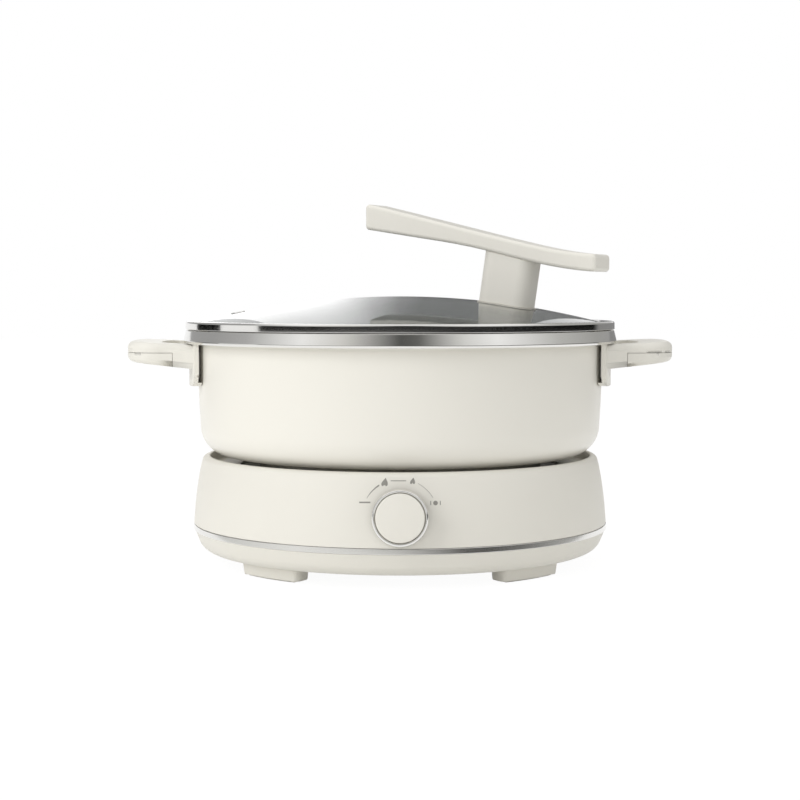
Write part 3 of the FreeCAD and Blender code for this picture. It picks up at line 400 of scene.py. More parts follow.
def dark_phenolic(tree, place):
    """Glass-filled phenolic: near black and dull, with short pale fibre flecks."""
    drawn_out = add(tree, "Mapping", {"Scale": (1.0, 0.2, 1.0)}, {"Vector": place})
    fibres = add(tree, "TexNoise", {"Scale": per_mm(0.5), "Detail": 3.0}, {"Vector": drawn_out})
    tint = add(tree, "Mix", blend(linear("1D1D1E"), linear("2C2C2C")), {0: fibres})
    gloss = add(tree, "MapRange", {"To Min": 0.38, "To Max": 0.55}, {"Value": fibres})
    relief = add(tree, "Bump", {"Strength": 0.4, "Distance": 0.02 * MM}, {"Height": fibres})
    return add(
        tree,
        "BsdfPrincipled",
        {"IOR": 1.6},
        {"Base Color": tint, "Roughness": gloss, "Normal": relief},
    )


def zinc_plate(tree, place):
    """Bright zinc on steel screws: pale blue-grey, slightly crystalline."""
    crystals = add(tree, "TexVoronoi", {"Scale": per_mm(0.8)}, {"Vector": place})
    tint = add(tree, "Mix", blend(linear("C3C6C9"), linear("AEB1B3")), {0: crystals})
    gloss = add(tree, "MapRange", {"To Min": 0.26, "To Max": 0.42}, {"Value": crystals})
    return add(tree, "BsdfPrincipled", {"Metallic": 1.0}, {"Base Color": tint, "Roughness": gloss})


def plated_brass(tree, place):
    """Nickel-plated brass terminals, rubbed through to yellow in places."""
    wear = add(
        tree,
        "TexNoise",
        {"Scale": per_mm(2.5), "Detail": 4.0, "Roughness": 0.65},
        {"Vector": place},
    )
    tint = add(tree, "Mix", blend(linear("CFC7B6"), linear("C2A568")), {0: wear})
    gloss = add(tree, "MapRange", {"To Min": 0.22, "To Max": 0.4}, {"Value": wear})
    return add(tree, "BsdfPrincipled", {"Metallic": 1.0}, {"Base Color": tint, "Roughness": gloss})


def braided_sleeve(tree, place):
    """Woven glass-fibre sleeving: off-white threads that cross on the slant."""
    threads = add(
        tree,
        "TexWave",
        {"bands_direction": "DIAGONAL", "Scale": wave_per_mm(0.6), "Distortion": 0.6},
        {"Vector": place},
    ).outputs["Fac"]
    tint = add(tree, "Mix", blend(linear("C9C3B4"), linear("E2DDD0")), {0: threads})
    relief = add(tree, "Bump", {"Strength": 0.7, "Distance": 0.12 * MM}, {"Height": threads})
    return add(tree, "BsdfPrincipled", {"Roughness": 0.8}, {"Base Color": tint, "Normal": relief})


def pad_print(tree, place, colour):
    """Pad-printed ink: thin and matt, a little broken at its finest scale."""
    speckle = add(tree, "TexNoise", {"Scale": per_mm(0.5), "Detail": 2.0}, {"Vector": place})
    tint = add(tree, "Mix", blend(colour, darker(colour, 1.3)), {0: speckle})
    return add(tree, "BsdfPrincipled", {"Roughness": 0.6}, {"Base Color": tint})


MATERIALS = {}


def make_materials():
    """One finish for each of the record's slots, and the dial print."""
    shell = colours().shell
    finishes = {
        "cream_shell": ("moulded_polypropylene", moulded_polypropylene, shell, 0.42),
        "cream_plastic": ("moulded_handles", moulded_polypropylene, shell, 0.38),
        "cream_pot": ("sprayed_ceramic", sprayed_ceramic, colours().coat),
        "bright_steel": ("polished_steel", polished_steel, "E6E5E2", 0.1),
        "satin_steel": ("pressed_steel", pressed_steel, "BFBEBC", 0.32),
        "cast_plate": ("faced_cast_aluminium", faced_aluminium, "8E8D8A", 0.42, 0.9),
        "contact_disc": ("turned_aluminium", faced_aluminium, "B9B8B5", 0.34, 0.6),
        "element_sheath": ("oxidised_sheath", oxidised_sheath),
        "lid_glass": ("tempered_glass", tempered_glass, "A8ABAA"),
        "seal_rubber": ("cast_silicone", cast_silicone, "D2CFC6"),
        "foot_rubber": ("foot_silicone", cast_silicone, "C9C6BE"),
        "inner_plastic": ("dark_phenolic", dark_phenolic),
        "screw_steel": ("zinc_plate", zinc_plate),
        "terminal_brass": ("plated_brass", plated_brass),
        "lead_sleeve": ("braided_sleeve", braided_sleeve),
        "dial_print": ("pad_print", pad_print, colours().ink),
    }
    for slot, finish in finishes.items():
        MATERIALS[slot] = finished(*finish)


# Shaping


def finish_piece(mesh, name, slot, body, stands_for=(), soft_angle=35.0):
    """Makes an object of a bmesh, smooths it, and seats it on its body."""
    bmesh.ops.recalc_face_normals(mesh, faces=mesh.faces)
    data = bpy.data.meshes.new(name)
    mesh.to_mesh(data)
    mesh.free()
    piece = bpy.data.objects.new(name, data)
    bpy.context.scene.collection.objects.link(piece)
    data.shade_smooth()
    data.set_sharp_from_angle(angle=math.radians(soft_angle))
    weighted = piece.modifiers.new("flat_faces_stay_flat", "WEIGHTED_NORMAL")
    weighted.keep_sharp = True
    data.materials.append(MATERIALS[slot])
    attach(piece, body)
    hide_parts(*stands_for)


def bevel(mesh, geometry, size_mm, steps=3, kind="EDGES"):
    bmesh.ops.bevel(
        mesh,
        geom=geometry,
        offset=size_mm * MM,
        offset_type="OFFSET",
        segments=steps,
        profile=0.5,
        affect=kind,
        material=-1,
    )


WIDE_ROUNDING = 3.0
NARROW_STEPS, WIDE_STEPS = 4, 10
SAME_POINT = 0.002
SAME_SPUN_POINT = 0.004
FLAT_WITHIN = 0.4


def bent(edge, degrees):
    """True for an edge whose two faces meet at more than this angle."""
    return edge.is_manifold and edge.calc_face_angle(0) > math.radians(degrees)


def outline(mesh, corners, closed=True):
    """Outline in the XZ plane from (radius, height, rounding) corners, in millimetres."""
    points = [mesh.verts.new((r * MM, 0, z * MM)) for r, z, _ in corners]
    for first, second in zip(points, points[1:]):
        mesh.edges.new((first, second))
    if closed:
        mesh.edges.new((points[-1], points[0]))
    for point, (_, _, rounding) in zip(points, corners):
        if rounding > 0:
            steps = NARROW_STEPS if rounding < WIDE_ROUNDING else WIDE_STEPS
            bevel(mesh, [point], rounding, steps, "VERTICES")


def spun(mesh):
    """Turns what the mesh holds about Z."""
    bmesh.ops.spin(
        mesh,
        geom=mesh.verts[:] + mesh.edges[:],
        cent=(0, 0, 0),
        axis=UP,
        angle=FULL_TURN,
        steps=sizes().turn_steps,
        use_merge=True,
    )
    bmesh.ops.remove_doubles(mesh, verts=mesh.verts, dist=SAME_SPUN_POINT * MM)


def turned(corners, closed=True):
    mesh = bmesh.new()
    outline(mesh, corners, closed)
    spun(mesh)
    return mesh


def pushed(mesh, face, shift):
    """Draws a face out along a vector and returns the face at its end."""
    drawn = bmesh.ops.extrude_face_region(mesh, geom=[face])["geom"]
    moved = [item for item in drawn if isinstance(item, bmesh.types.BMVert)]
    bmesh.ops.translate(mesh, vec=shift, verts=moved)
    bmesh.ops.delete(mesh, geom=[face], context="FACES_ONLY")
    return next(item for item in drawn if isinstance(item, bmesh.types.BMFace))


def merged_copy(node):
    """Copy of a CAD node's mesh, joined up and with its flat faces whole."""
    mesh = bmesh.new()
    mesh.from_mesh(frame["nodes"][node].data)
    bmesh.ops.remove_doubles(mesh, verts=mesh.verts, dist=SAME_POINT * MM)
    bmesh.ops.dissolve_limit(
        mesh, angle_limit=math.radians(FLAT_WITHIN), verts=mesh.verts, edges=mesh.edges, delimit={"NORMAL"}
    )
    return mesh


def softened(node, slot, body, width=0.4, sharp_angle=40.0):
    """A CAD node's own shape with its sharp edges rounded over."""
    mesh = merged_copy(node)
    bevel(mesh, [e for e in mesh.edges if bent(e, sharp_angle)], width, 2)
    finish_piece(mesh, node + "_soft", slot, body, [node])


# Base


class HOTPOT_OT_materials(bpy.types.Operator):
    """Makes the finishes and gives every CAD node its own"""

    bl_idname = "hotpot.materials"
    bl_label = "Finishes"

    def execute(self, context):
        make_materials()
        for part in frame["record"]["subparts"]:
            for holder in frame["nodes"][part["node"]].material_slots:
                holder.material = MATERIALS[part["material_slot"]]
        return {"FINISHED"}


class HOTPOT_OT_base(bpy.types.Operator):
    """Builds the housing, its rear shroud, the pan, the trim ring and the feet"""

    bl_idname = "hotpot.base"
    bl_label = "Base"

    def execute(self, context):
        housing()
        shroud()
        softened("inlet_socket", "inner_plastic", "base", 0.5)
        softened("inlet_pins", "terminal_brass", "base", 0.3)
        softened("bottom_pan", "cream_shell", "base", 0.3, 50.0)
        trim()
        feet()
        screws("foot_screws", DOWN, *SMALL_SCREW)
        screws("pan_screws", DOWN, *PAN_SCREW)
        screws("inlet_screws", REARWARD, *SMALL_SCREW)
        return {"FINISHED"}


WALL = 2.6
LIP_WIDTH = 2.4
LIP_DROP = 9.2
SHELF_R = 112.0
SHELF_THICK = 1.8
INLET_Z = 46.0
WINDOW = (25.0, 11.0)


def housing():
    """Ring wall with a rounded shoulder, a lip round the deck, and the dish's shelf."""
    lip_r = HOUSING_R - LIP_DROP
    mesh = turned(
        [
            (HOUSING_R, HOUSING_Z, 0.5),
            (HOUSING_R - 1.7, 50.0, 12.0),
            (HOUSING_R - 5.4, 69.4, 3.0),
            (HOUSING_R - 7.2, LIP_Z, 3.2),
            (lip_r - LIP_WIDTH, LIP_Z, 0.7),
            (lip_r - LIP_WIDTH - 0.8, DISH_TOP_Z + SHELF_THICK, 0.6),
            (SHELF_R, DISH_TOP_Z + SHELF_THICK, 0.5),
            (SHELF_R, DISH_TOP_Z, 0.2),
            (lip_r - LIP_WIDTH + 1.2, DISH_TOP_Z, 0.0),
            (lip_r - LIP_WIDTH + 1.8, LIP_Z - WALL, 0.0),
            (HOUSING_R - 5.7 - WALL, 70.2, 0.0),
            (HOUSING_R - 1.7 - WALL, 50.0, 4.0),
            (HOUSING_R - WALL, HOUSING_Z, 0.3),
        ]
    )
    cut_window(mesh)
    finish_piece(mesh, "housing_shell", "cream_shell", "base", ["base_housing"])


def cut_window(mesh):
    """Opens the rear wall behind the shroud, where the inlet's body passes through."""
    half_width, half_height = WINDOW
    sides = (
        ((-half_width, 0, 0), (1, 0, 0)),
        ((half_width, 0, 0), (1, 0, 0)),
        ((0, 0, INLET_Z - half_height), (0, 0, 1)),
        ((0, 0, INLET_Z + half_height), (0, 0, 1)),
    )
    for point, facing in sides:
        rear = [f for f in mesh.faces if is_rear(f, 2 * half_width)]
        touching = {item for f in rear for item in f.verts[:] + f.edges[:]}
        bmesh.ops.bisect_plane(
            mesh, geom=rear + list(touching), plane_co=Vector(point) * MM, plane_no=facing
        )
    inside = [
        f
        for f in mesh.faces
        if is_rear(f, half_width)
        and abs(f.calc_center_median().z / MM - INLET_Z) < half_height
    ]
    bmesh.ops.delete(mesh, geom=inside, context="FACES")
    bmesh.ops.bridge_loops(mesh, edges=[e for e in mesh.edges if e.is_boundary])


def is_rear(face, half_width):
    """True for a face of the rear outer wall within this distance of the middle."""
    middle = face.calc_center_median() / MM
    return middle.y > SHELF_R + 20 and abs(middle.x) < half_width


SHROUD_WIDTH = 62.0
SHROUD_HEIGHT = 30.0
SHROUD_FRONT_Y = 134.0
SHROUD_CORNER = 6.0
SEAT = (50.4, 22.9, 2.2)
ROOM = (28.0, 20.5)
ROOM_END_Y = 137.5


def shroud():
    """Flat-faced block at the rear with the recess that takes the mains inlet."""
    depth = SHROUD_Y - SHROUD_FRONT_Y
    mesh = bmesh.new()
    bmesh.ops.create_cube(mesh, size=MM)
    bmesh.ops.scale(mesh, vec=(SHROUD_WIDTH, depth, SHROUD_HEIGHT), verts=mesh.verts)
    bmesh.ops.translate(mesh, vec=Vector((0, SHROUD_Y - depth / 2, INLET_Z)) * MM, verts=mesh.verts)
    along = [e for e in mesh.edges if abs((e.verts[0].co - e.verts[1].co).y) > MM]
    bevel(mesh, along, SHROUD_CORNER, 8)
    rear = max(mesh.faces, key=lambda f: f.calc_center_median().y)
    narrowed(mesh, rear, SHROUD_WIDTH, SHROUD_HEIGHT, SEAT[0], SEAT[1])
    floor = pushed(mesh, rear, (0, -SEAT[2] * MM, 0))
    narrowed(mesh, floor, SEAT[0], SEAT[1], ROOM[0], ROOM[1])
    pushed(mesh, floor, (0, (ROOM_END_Y - SHROUD_Y + SEAT[2]) * MM, 0))
    rims = [e for e in mesh.edges if bent(e, 60) and min(v.co.y for v in e.verts) > (SHROUD_Y - 0.1) * MM]
    bevel(mesh, rims, sizes().soft_edge / MM, 3)
    finish_piece(mesh, "inlet_shroud", "cream_shell", "base")


def narrowed(mesh, face, width, height, new_width, new_height):
    """Insets a face that looks along Y, and brings the inner one to a new width and height."""
    rim = (height - new_height) / 2
    bmesh.ops.inset_region(mesh, faces=[face], thickness=rim * MM, use_even_offset=True)
    share = new_width / (width - 2 * rim)
    bmesh.ops.scale(mesh, vec=(share, 1, 1), verts=face.verts)


TRIM_SLOPE = 0.42
TRIM_DEPTH = 2.8


def trim():
    """Bright ring whose face slopes in a little towards its top."""
    mesh = turned(
        [
            (TRIM_R - TRIM_DEPTH, TRIM_LOW_Z, 0.0),
            (TRIM_R, TRIM_LOW_Z, 0.3),
            (TRIM_R - TRIM_SLOPE, TRIM_HIGH_Z, 0.3),
            (TRIM_R - TRIM_DEPTH, TRIM_HIGH_Z, 0.0),
        ]
    )
    finish_piece(mesh, "trim_band", "bright_steel", "base", ["trim_ring"])


FOOT_INNER_R = 113.0
FOOT_OUTER_R = 129.5
FOOT_HALF_ANGLE = math.radians(12.0)
FOOT_TAPER = 1.2
FOOT_STEPS = 16
FOOT_CORNER = 4.6
FOOT_SOLE = 0.9


def feet():
    """Four arc-shaped feet with rounded corners."""
    for place in ("front_left", "front_right", "rear_left", "rear_right"):
        node = "foot_" + place
        middle = (low_of(node) + high_of(node)) / 2
        mesh = bmesh.new()
        corners = (
            (FOOT_INNER_R + FOOT_TAPER, FOOT_Z),
            (FOOT_OUTER_R - FOOT_TAPER, FOOT_Z),
            (FOOT_OUTER_R, FOOT_TOP_Z),
            (FOOT_INNER_R, FOOT_TOP_Z),
        )
        section = mesh.faces.new([mesh.verts.new((r * MM, 0, z * MM)) for r, z in corners])
        start = Matrix.Rotation(math.atan2(middle.y, middle.x) - FOOT_HALF_ANGLE, 3, "Z")
        bmesh.ops.rotate(mesh, verts=mesh.verts, cent=(0, 0, 0), matrix=start)
        bmesh.ops.spin(
            mesh,
            geom=[section] + section.edges[:] + section.verts[:],
            cent=(0, 0, 0),
            axis=UP,
            angle=2 * FOOT_HALF_ANGLE,
            steps=FOOT_STEPS,
        )
        bmesh.ops.recalc_face_normals(mesh, faces=mesh.faces)
        upright = [e for e in mesh.edges if bent(e, 60) and abs((e.verts[0].co - e.verts[1].co).z) > 3 * MM]
        bevel(mesh, upright, FOOT_CORNER, 6)
        sole = [e for e in mesh.edges if bent(e, 50) and max(v.co.z for v in e.verts) < (FOOT_Z + 0.5) * MM]
        bevel(mesh, sole, FOOT_SOLE, 3)
        finish_piece(mesh, "foot_block_" + place, "cream_shell", "base", [node])


# Head radius and height
SMALL_SCREW = (2.6, 1.6)
PAN_SCREW = (3.2, 2.0)
SHANK_SHARE = 0.52


def screws(node, facing, head_r, head_height):
    """Cross-recessed screws in the places of a node's plain ones, with their heads to one side."""
    mesh = bmesh.new()
    turn = UP.rotation_difference(facing).to_matrix()
    for low, high in islands(node):
        length = abs((high - low).dot(facing)) / MM
        middle = (low + high) / 2
        top = middle + facing * length / 2 * MM
        one = screw(head_r, head_height, head_r * SHANK_SHARE, length)
        bmesh.ops.rotate(one, verts=one.verts, cent=(0, 0, 0), matrix=turn)
        bmesh.ops.translate(one, verts=one.verts, vec=top)
        whole = bpy.data.meshes.new("one_screw")
        one.to_mesh(whole)
        one.free()
        mesh.from_mesh(whole)
        bpy.data.meshes.remove(whole)
    body = frame["nodes"][node]["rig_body"]
    finish_piece(mesh, node + "_crossed", "screw_steel", body, [node])


def islands(node):
    """Lowest and highest corner of each separate solid of a node."""
    mesh = merged_copy(node)
    left = set(mesh.verts)
    boxes = []
    while left:
        found, waiting = set(), [left.pop()]
        while waiting:
            vertex = waiting.pop()
            found.add(vertex)
            near = {e.other_vert(vertex) for e in vertex.link_edges} & left
            left -= near
            waiting += near
        ends = [[pick(v.co[axis] for v in found) for axis in range(3)] for pick in (min, max)]
        boxes.append([Vector(end) for end in ends])
    mesh.free()
    return sorted(boxes, key=lambda ends: tuple(ends[0]))


SCREW_STEPS = 24
# Shares of the head's radius: the flat round the recess, the cross's arms, and their half width
RECESS_RIM, RECESS_ARM, RECESS_HALF = 0.72, 0.56, 0.15
# Share of the head's height, and of the cross's width at its floor
RECESS_DEPTH, RECESS_FLOOR = 0.6, 0.7


def screw(head_r, head_height, shank_r, length):
    """Round-headed screw that points down from the origin, with a cross recess."""
    mesh = bmesh.new()
    rim = bmesh.ops.create_circle(mesh, segments=SCREW_STEPS, radius=RECESS_RIM * head_r * MM)
    ring = list({e for v in rim["verts"] for e in v.link_edges})
    arm, half = RECESS_ARM * head_r * MM, RECESS_HALF * head_r * MM
    quarter = ((arm, -half), (arm, half), (half, half))
    points = [
        mesh.verts.new(Matrix.Rotation(turn * math.pi / 2, 3, "Z") @ Vector((x, y, 0)))
        for turn in range(4)
        for x, y in quarter
    ]
    cross = mesh.faces.new(points)
    bmesh.ops.bridge_loops(mesh, edges=ring + cross.edges[:])
    end = pushed(mesh, cross, (0, 0, -RECESS_DEPTH * head_height * MM))
    bmesh.ops.scale(mesh, vec=(RECESS_FLOOR, RECESS_FLOOR, 1), verts=end.verts)
    steps = ((0.93 * head_r, 0.18 * head_height), (head_r, 0.5 * head_height), (head_r, head_height))
    for radius, depth in steps + ((shank_r, head_height), (shank_r, length)):
        drawn = bmesh.ops.extrude_edge_only(mesh, edges=ring)["geom"]
        circle = [v for v in drawn if isinstance(v, bmesh.types.BMVert)]
        ring = [e for e in drawn if isinstance(e, bmesh.types.BMEdge)]
        for vertex in circle:
            vertex.co = vertex.co.xy.normalized().to_3d() * radius * MM + DOWN * depth * MM
    bmesh.ops.contextual_create(mesh, geom=ring)
    return mesh


# Knob and its marks


class HOTPOT_OT_knob(bpy.types.Operator):
    """Builds the knob, the marks round it and the sensor button"""

    bl_idname = "hotpot.knob"
    bl_label = "Knob and sensor"

    def execute(self, context):
        knob()
        dial_marks()
        sensor()
        return {"FINISHED"}


KNOB_TILT = math.radians(5.0)
KNOB_CENTRE = Vector((0, -143.4, 47.4)) * MM
KNOB_GAP = 1.0
KNOB_FRONT = 13.55
KNOB_CROWN = 0.9
KNOB_FRONT_R = 17.5
KNOB_CORE_R = 15.2
KNOB_FACE_DEPTH = 3.0
KNOB_GROOVE = 0.7
KNOB_TURN = Matrix.Rotation(math.pi / 2 - KNOB_TILT, 4, "X")
KNOB_PLACE = Matrix.Translation(KNOB_CENTRE) @ KNOB_TURN


def knob():
    """Bright tapered skirt, and a crowned face set in it with a fine groove between."""
    rim = KNOB_FRONT - 1.2
    skirt = turned(
        [
            (KNOB_R, KNOB_GAP, 0.3),
            (KNOB_FRONT_R + 0.1, rim - 0.3, 0.9),
            (KNOB_FACE_R, rim + 0.1, 0.6),
            (KNOB_CORE_R, rim - 2.0, 0.0),
            (KNOB_CORE_R, KNOB_GAP + 1.2, 0.0),
            (KNOB_R - 1.4, KNOB_GAP, 0.2),
        ]
    )
    bmesh.ops.transform(skirt, matrix=KNOB_PLACE, verts=skirt.verts)
    finish_piece(skirt, "knob_skirt", "bright_steel", "knob", ["knob_ring"])
    edge = KNOB_FRONT - KNOB_CROWN
    face = turned(
        [
            (0.0, KNOB_FRONT, 0.0),
            (5.5, KNOB_FRONT - 0.1, 0.0),
            (10.5, KNOB_FRONT - 0.36, 0.0),
            (KNOB_FACE_R - KNOB_GROOVE - 0.1, edge, 0.7),
            (KNOB_FACE_R - KNOB_GROOVE, KNOB_FRONT - KNOB_FACE_DEPTH, 0.0),
            (0.0, KNOB_FRONT - KNOB_FACE_DEPTH, 0.0),
        ],
        closed=False,
    )
    bmesh.ops.transform(face, matrix=KNOB_PLACE, verts=face.verts)
    finish_piece(face, "knob_face", "cream_plastic", "knob", ["knob_cap"])


MARK_R = 24.0
OFF_ANGLE = 157.0
LOW_ANGLE = 114.0
HIGH_ANGLE = 71.0
WARM_ANGLE = 22.0
MARK_THICK = 0.05
MARK_CELL = 0.8
# Width and height of each mark
OFF_DASH = (7.0, 0.9)
LOW_FLAME = (4.4, 5.6)
HIGH_FLAME = (3.4, 4.4)
JOINING_LINE = (9.6, 0.5)
WARM_BAR = (0.5, 2.6)
WARM_BAR_X = 3.0
WARM_DOT_R = 1.45


def dial_marks():
    """Off dash, growing arc, two flames joined by a line, and a keep-warm dot."""
    mesh = bmesh.new()
    bar(mesh, at_angle(OFF_ANGLE), *OFF_DASH)
    flame(mesh, at_angle(LOW_ANGLE), *LOW_FLAME)
    bar(mesh, Vector((-1.0, 22.9, 0)), *JOINING_LINE)
    flame(mesh, at_angle(HIGH_ANGLE), *HIGH_FLAME)
    bmesh.ops.create_circle(
        mesh,
        cap_ends=True,
        segments=24,
        radius=WARM_DOT_R,
        matrix=Matrix.Translation(at_angle(WARM_ANGLE)),
    )
    for side in (-1, 1):
        bar(mesh, at_angle(WARM_ANGLE) + Vector((side * WARM_BAR_X, 0, 0)), *WARM_BAR)
    arc(mesh, OFF_ANGLE - 7, LOW_ANGLE + 9, 0.2, 0.9)
    arc(mesh, HIGH_ANGLE - 9, WARM_ANGLE + 9, 0.25, 0.25)
    long_edges = [e for e in mesh.edges if e.calc_length() > MARK_CELL]
    bmesh.ops.subdivide_edges(mesh, edges=long_edges, cuts=3, use_grid_fill=True)
    bmesh.ops.triangulate(mesh, faces=mesh.faces)
    bmesh.ops.scale(mesh, vec=(MM, MM, MM), verts=mesh.verts)
    lay_on_wall(mesh)
    drawn = bmesh.ops.extrude_face_region(mesh, geom=mesh.faces[:])["geom"]
    raised = [item for item in drawn if isinstance(item, bmesh.types.BMVert)]
    outwards = KNOB_TURN.to_3x3() @ UP
    bmesh.ops.translate(mesh, vec=outwards * MARK_THICK * MM, verts=raised)
    finish_piece(mesh, "dial_marks", "dial_print", "base")


def at_angle(degrees):
    """Place on the circle of marks; 90 degrees is straight up."""
    turn = math.radians(degrees)
    return Vector((MARK_R * math.cos(turn), MARK_R * math.sin(turn), 0))


def bar(mesh, centre, width, height):
    """Upright rectangle of the print, in millimetres round the knob's axis."""
    grid = bmesh.ops.create_grid(mesh, x_segments=1, y_segments=1, size=0.5)["verts"]
    bmesh.ops.scale(mesh, vec=(width, height, 1), verts=grid)
    bmesh.ops.translate(mesh, vec=centre, verts=grid)


def flame(mesh, centre, width, height):
    """Flame: a circle drawn up to a point that leans to one side, with a notch below."""
    rim = bmesh.ops.create_circle(mesh, cap_ends=True, segments=32, radius=0.5)["verts"]
    for vertex in rim:
        rise = vertex.co.y + 0.5
        vertex.co.x = vertex.co.x * (1 - rise**1.6 * 0.9) + 0.16 * rise**2
        if rise < 0.2:
            vertex.co.y += 0.28 * max(0.0, 1 - abs(vertex.co.x) / 0.22)
    bmesh.ops.scale(mesh, vec=(width * 1.15, height, 1), verts=rim)
    bmesh.ops.translate(mesh, vec=centre, verts=rim)


def arc(mesh, start, end, start_width, end_width):
    """Arc between two angles on the circle of marks, with a width that changes evenly."""
    steps = 16
    inner, outer = [], []
    for step in range(steps + 1):
        share = step / steps
        width = start_width + (end_width - start_width) * share
        place = at_angle(start + (end - start) * share)
        inner.append(mesh.verts.new(place * (1 - width / 2 / MARK_R)))
        outer.append(mesh.verts.new(place * (1 + width / 2 / MARK_R)))
    for near, far in zip(zip(inner, inner[1:]), zip(outer, outer[1:])):
        mesh.faces.new((near[0], near[1], far[1], far[0]))


def lay_on_wall(mesh):
    """Drops flat marks on the housing along the knob's axis."""
    wall = bpy.data.objects["housing_shell"].data
    tree = BVHTree.FromPolygons([v.co for v in wall.vertices], [p.vertices for p in wall.polygons])
    inwards = KNOB_TURN.to_3x3() @ DOWN
    for vertex in mesh.verts:
        start = KNOB_PLACE @ (vertex.co + UP * 20 * MM)
        hit, _, _, _ = tree.ray_cast(start, inwards)
        if hit is None:
            raise RuntimeError("a dial mark misses the housing")
        vertex.co = hit - inwards * sizes().print_height


SENSOR_WALL = 1.0
SENSOR_TOP = 1.4


def sensor():
    """Drawn cap of the temperature sensor, with a rounded top edge and an open foot."""
    mesh = turned(
        [
            (0.0, SENSOR_TOP_Z, 0.0),
            (SENSOR_R, SENSOR_TOP_Z, 1.2),
            (SENSOR_R, SENSOR_LOW_Z, 0.3),
            (SENSOR_R - SENSOR_WALL, SENSOR_LOW_Z, 0.3),
            (SENSOR_R - SENSOR_WALL, SENSOR_TOP_Z - SENSOR_TOP, 0.5),
            (0.0, SENSOR_TOP_Z - SENSOR_TOP, 0.0),
        ],
        closed=False,
    )
    finish_piece(mesh, "sensor_button", "contact_disc", "sensor", ["sensor_cap"])


# Pot


class HOTPOT_OT_pot(bpy.types.Operator):
    """Builds the coated pot, its steel band and its two handles"""

    bl_idname = "hotpot.pot"
    bl_label = "Pot"

    def execute(self, context):
        pot()
        band()
        for hand in ("left", "right"):
            as_moulded("handle_grip_" + hand, "_loop")
            as_moulded("handle_insert_" + hand, "_under")
            softened("handle_bracket_" + hand, "satin_steel", "pot", 0.4)
            screws("handle_screws_" + hand, DOWN, *SMALL_SCREW)
        return {"FINISHED"}


POT_CORNER_R = 19.0
POT_WAIST_R = 139.4
POT_R = 141.5
POT_WALL = 2.2
POT_FLOOR = 2.8
FLANGE_THICK = 2.0


def pot():
    """Vessel with a wide bottom corner, a gently curved wall and a turned-out flange."""
    mesh = turned(
        [
            (0.0, POT_Z, 0.0),
            (POT_WAIST_R - 0.6, POT_Z, POT_CORNER_R),
            (141.2, 120.0, 12.0),
            (POT_R, POT_TOP_Z - FLANGE_THICK - 1.5, 0.6),
            (POT_R + 1.7, POT_TOP_Z - FLANGE_THICK, 0.6),
            (POT_FLANGE_R, POT_TOP_Z - FLANGE_THICK, 0.5),
            (POT_FLANGE_R, POT_TOP_Z, 0.5),
            (POT_R + 0.8, POT_TOP_Z, 2.0),
            (POT_R - POT_WALL, POT_TOP_Z - 4.0, 2.0),
            (POT_WAIST_R - POT_WALL, POT_Z + POT_FLOOR, POT_CORNER_R - POT_WALL),
            (0.0, POT_Z + POT_FLOOR, 0.0),
        ],
        closed=False,
    )
    finish_piece(mesh, "pot_vessel", "cream_pot", "pot", ["pot_shell"], 50.0)


BAND_SHEET = 1.1
BAND_CURL = 5.8
BAND_LEAN = 1.9
BAND_TURN = 1.5


def band():
    """Rolled steel band over the pot's turned rim: a sloping face above a tight lower curl."""
    inner_r = POT_R - POT_WALL + 0.4
    turn_z = BAND_Z + BAND_TURN
    mesh = turned(
        [
            (BAND_R - BAND_CURL, BAND_Z, 0.3),
            (BAND_R - 0.7, BAND_Z, 0.7),
            (BAND_R, turn_z, 0.7),
            (BAND_R - BAND_LEAN, BAND_TOP_Z, 0.7),
            (inner_r, BAND_TOP_Z, 0.5),
            (inner_r, POT_TOP_Z + 0.4, 0.3),
            (inner_r + BAND_SHEET, POT_TOP_Z + 0.4, 0.3),
            (inner_r + BAND_SHEET, BAND_TOP_Z - BAND_SHEET, 0.3),
            (BAND_R - 3.1, BAND_TOP_Z - BAND_SHEET, 0.5),
            (BAND_R - 1.3, BAND_Z + BAND_SHEET, 0.3),
            (BAND_R - BAND_CURL, BAND_Z + BAND_SHEET, 0.3),
        ]
    )
    finish_piece(mesh, "rim_band", "bright_steel", "pot", ["pot_rim_band"], 60.0)


def as_moulded(node, ending):
    """A piece of a handle in the shape of its CAD node, smoothed."""
    finish_piece(merged_copy(node), node + ending, "cream_plastic", "pot", [node])


# Lid


class HOTPOT_OT_lid(bpy.types.Operator):
    """Builds the lid's steel rim, its glass, the vent eyelet, the post and the bar"""

    bl_idname = "hotpot.lid"
    bl_label = "Lid"

    def execute(self, context):
        lid_rim()
        dome()
        softened("vent_grommet", "bright_steel", "lid", 0.3)
        softened("handle_post", "cream_plastic", "lid", 0.5)
        softened("handle_bar", "cream_plastic", "lid", 0.4)
        softened("post_seal", "seal_rubber", "lid", 0.2)
        softened("post_washer", "satin_steel", "lid", 0.3)
        return {"FINISHED"}


LID_SHEET = 0.7
LEDGE_R = 141.0
SKIRT_R = 138.4
LID_GAP = 0.4


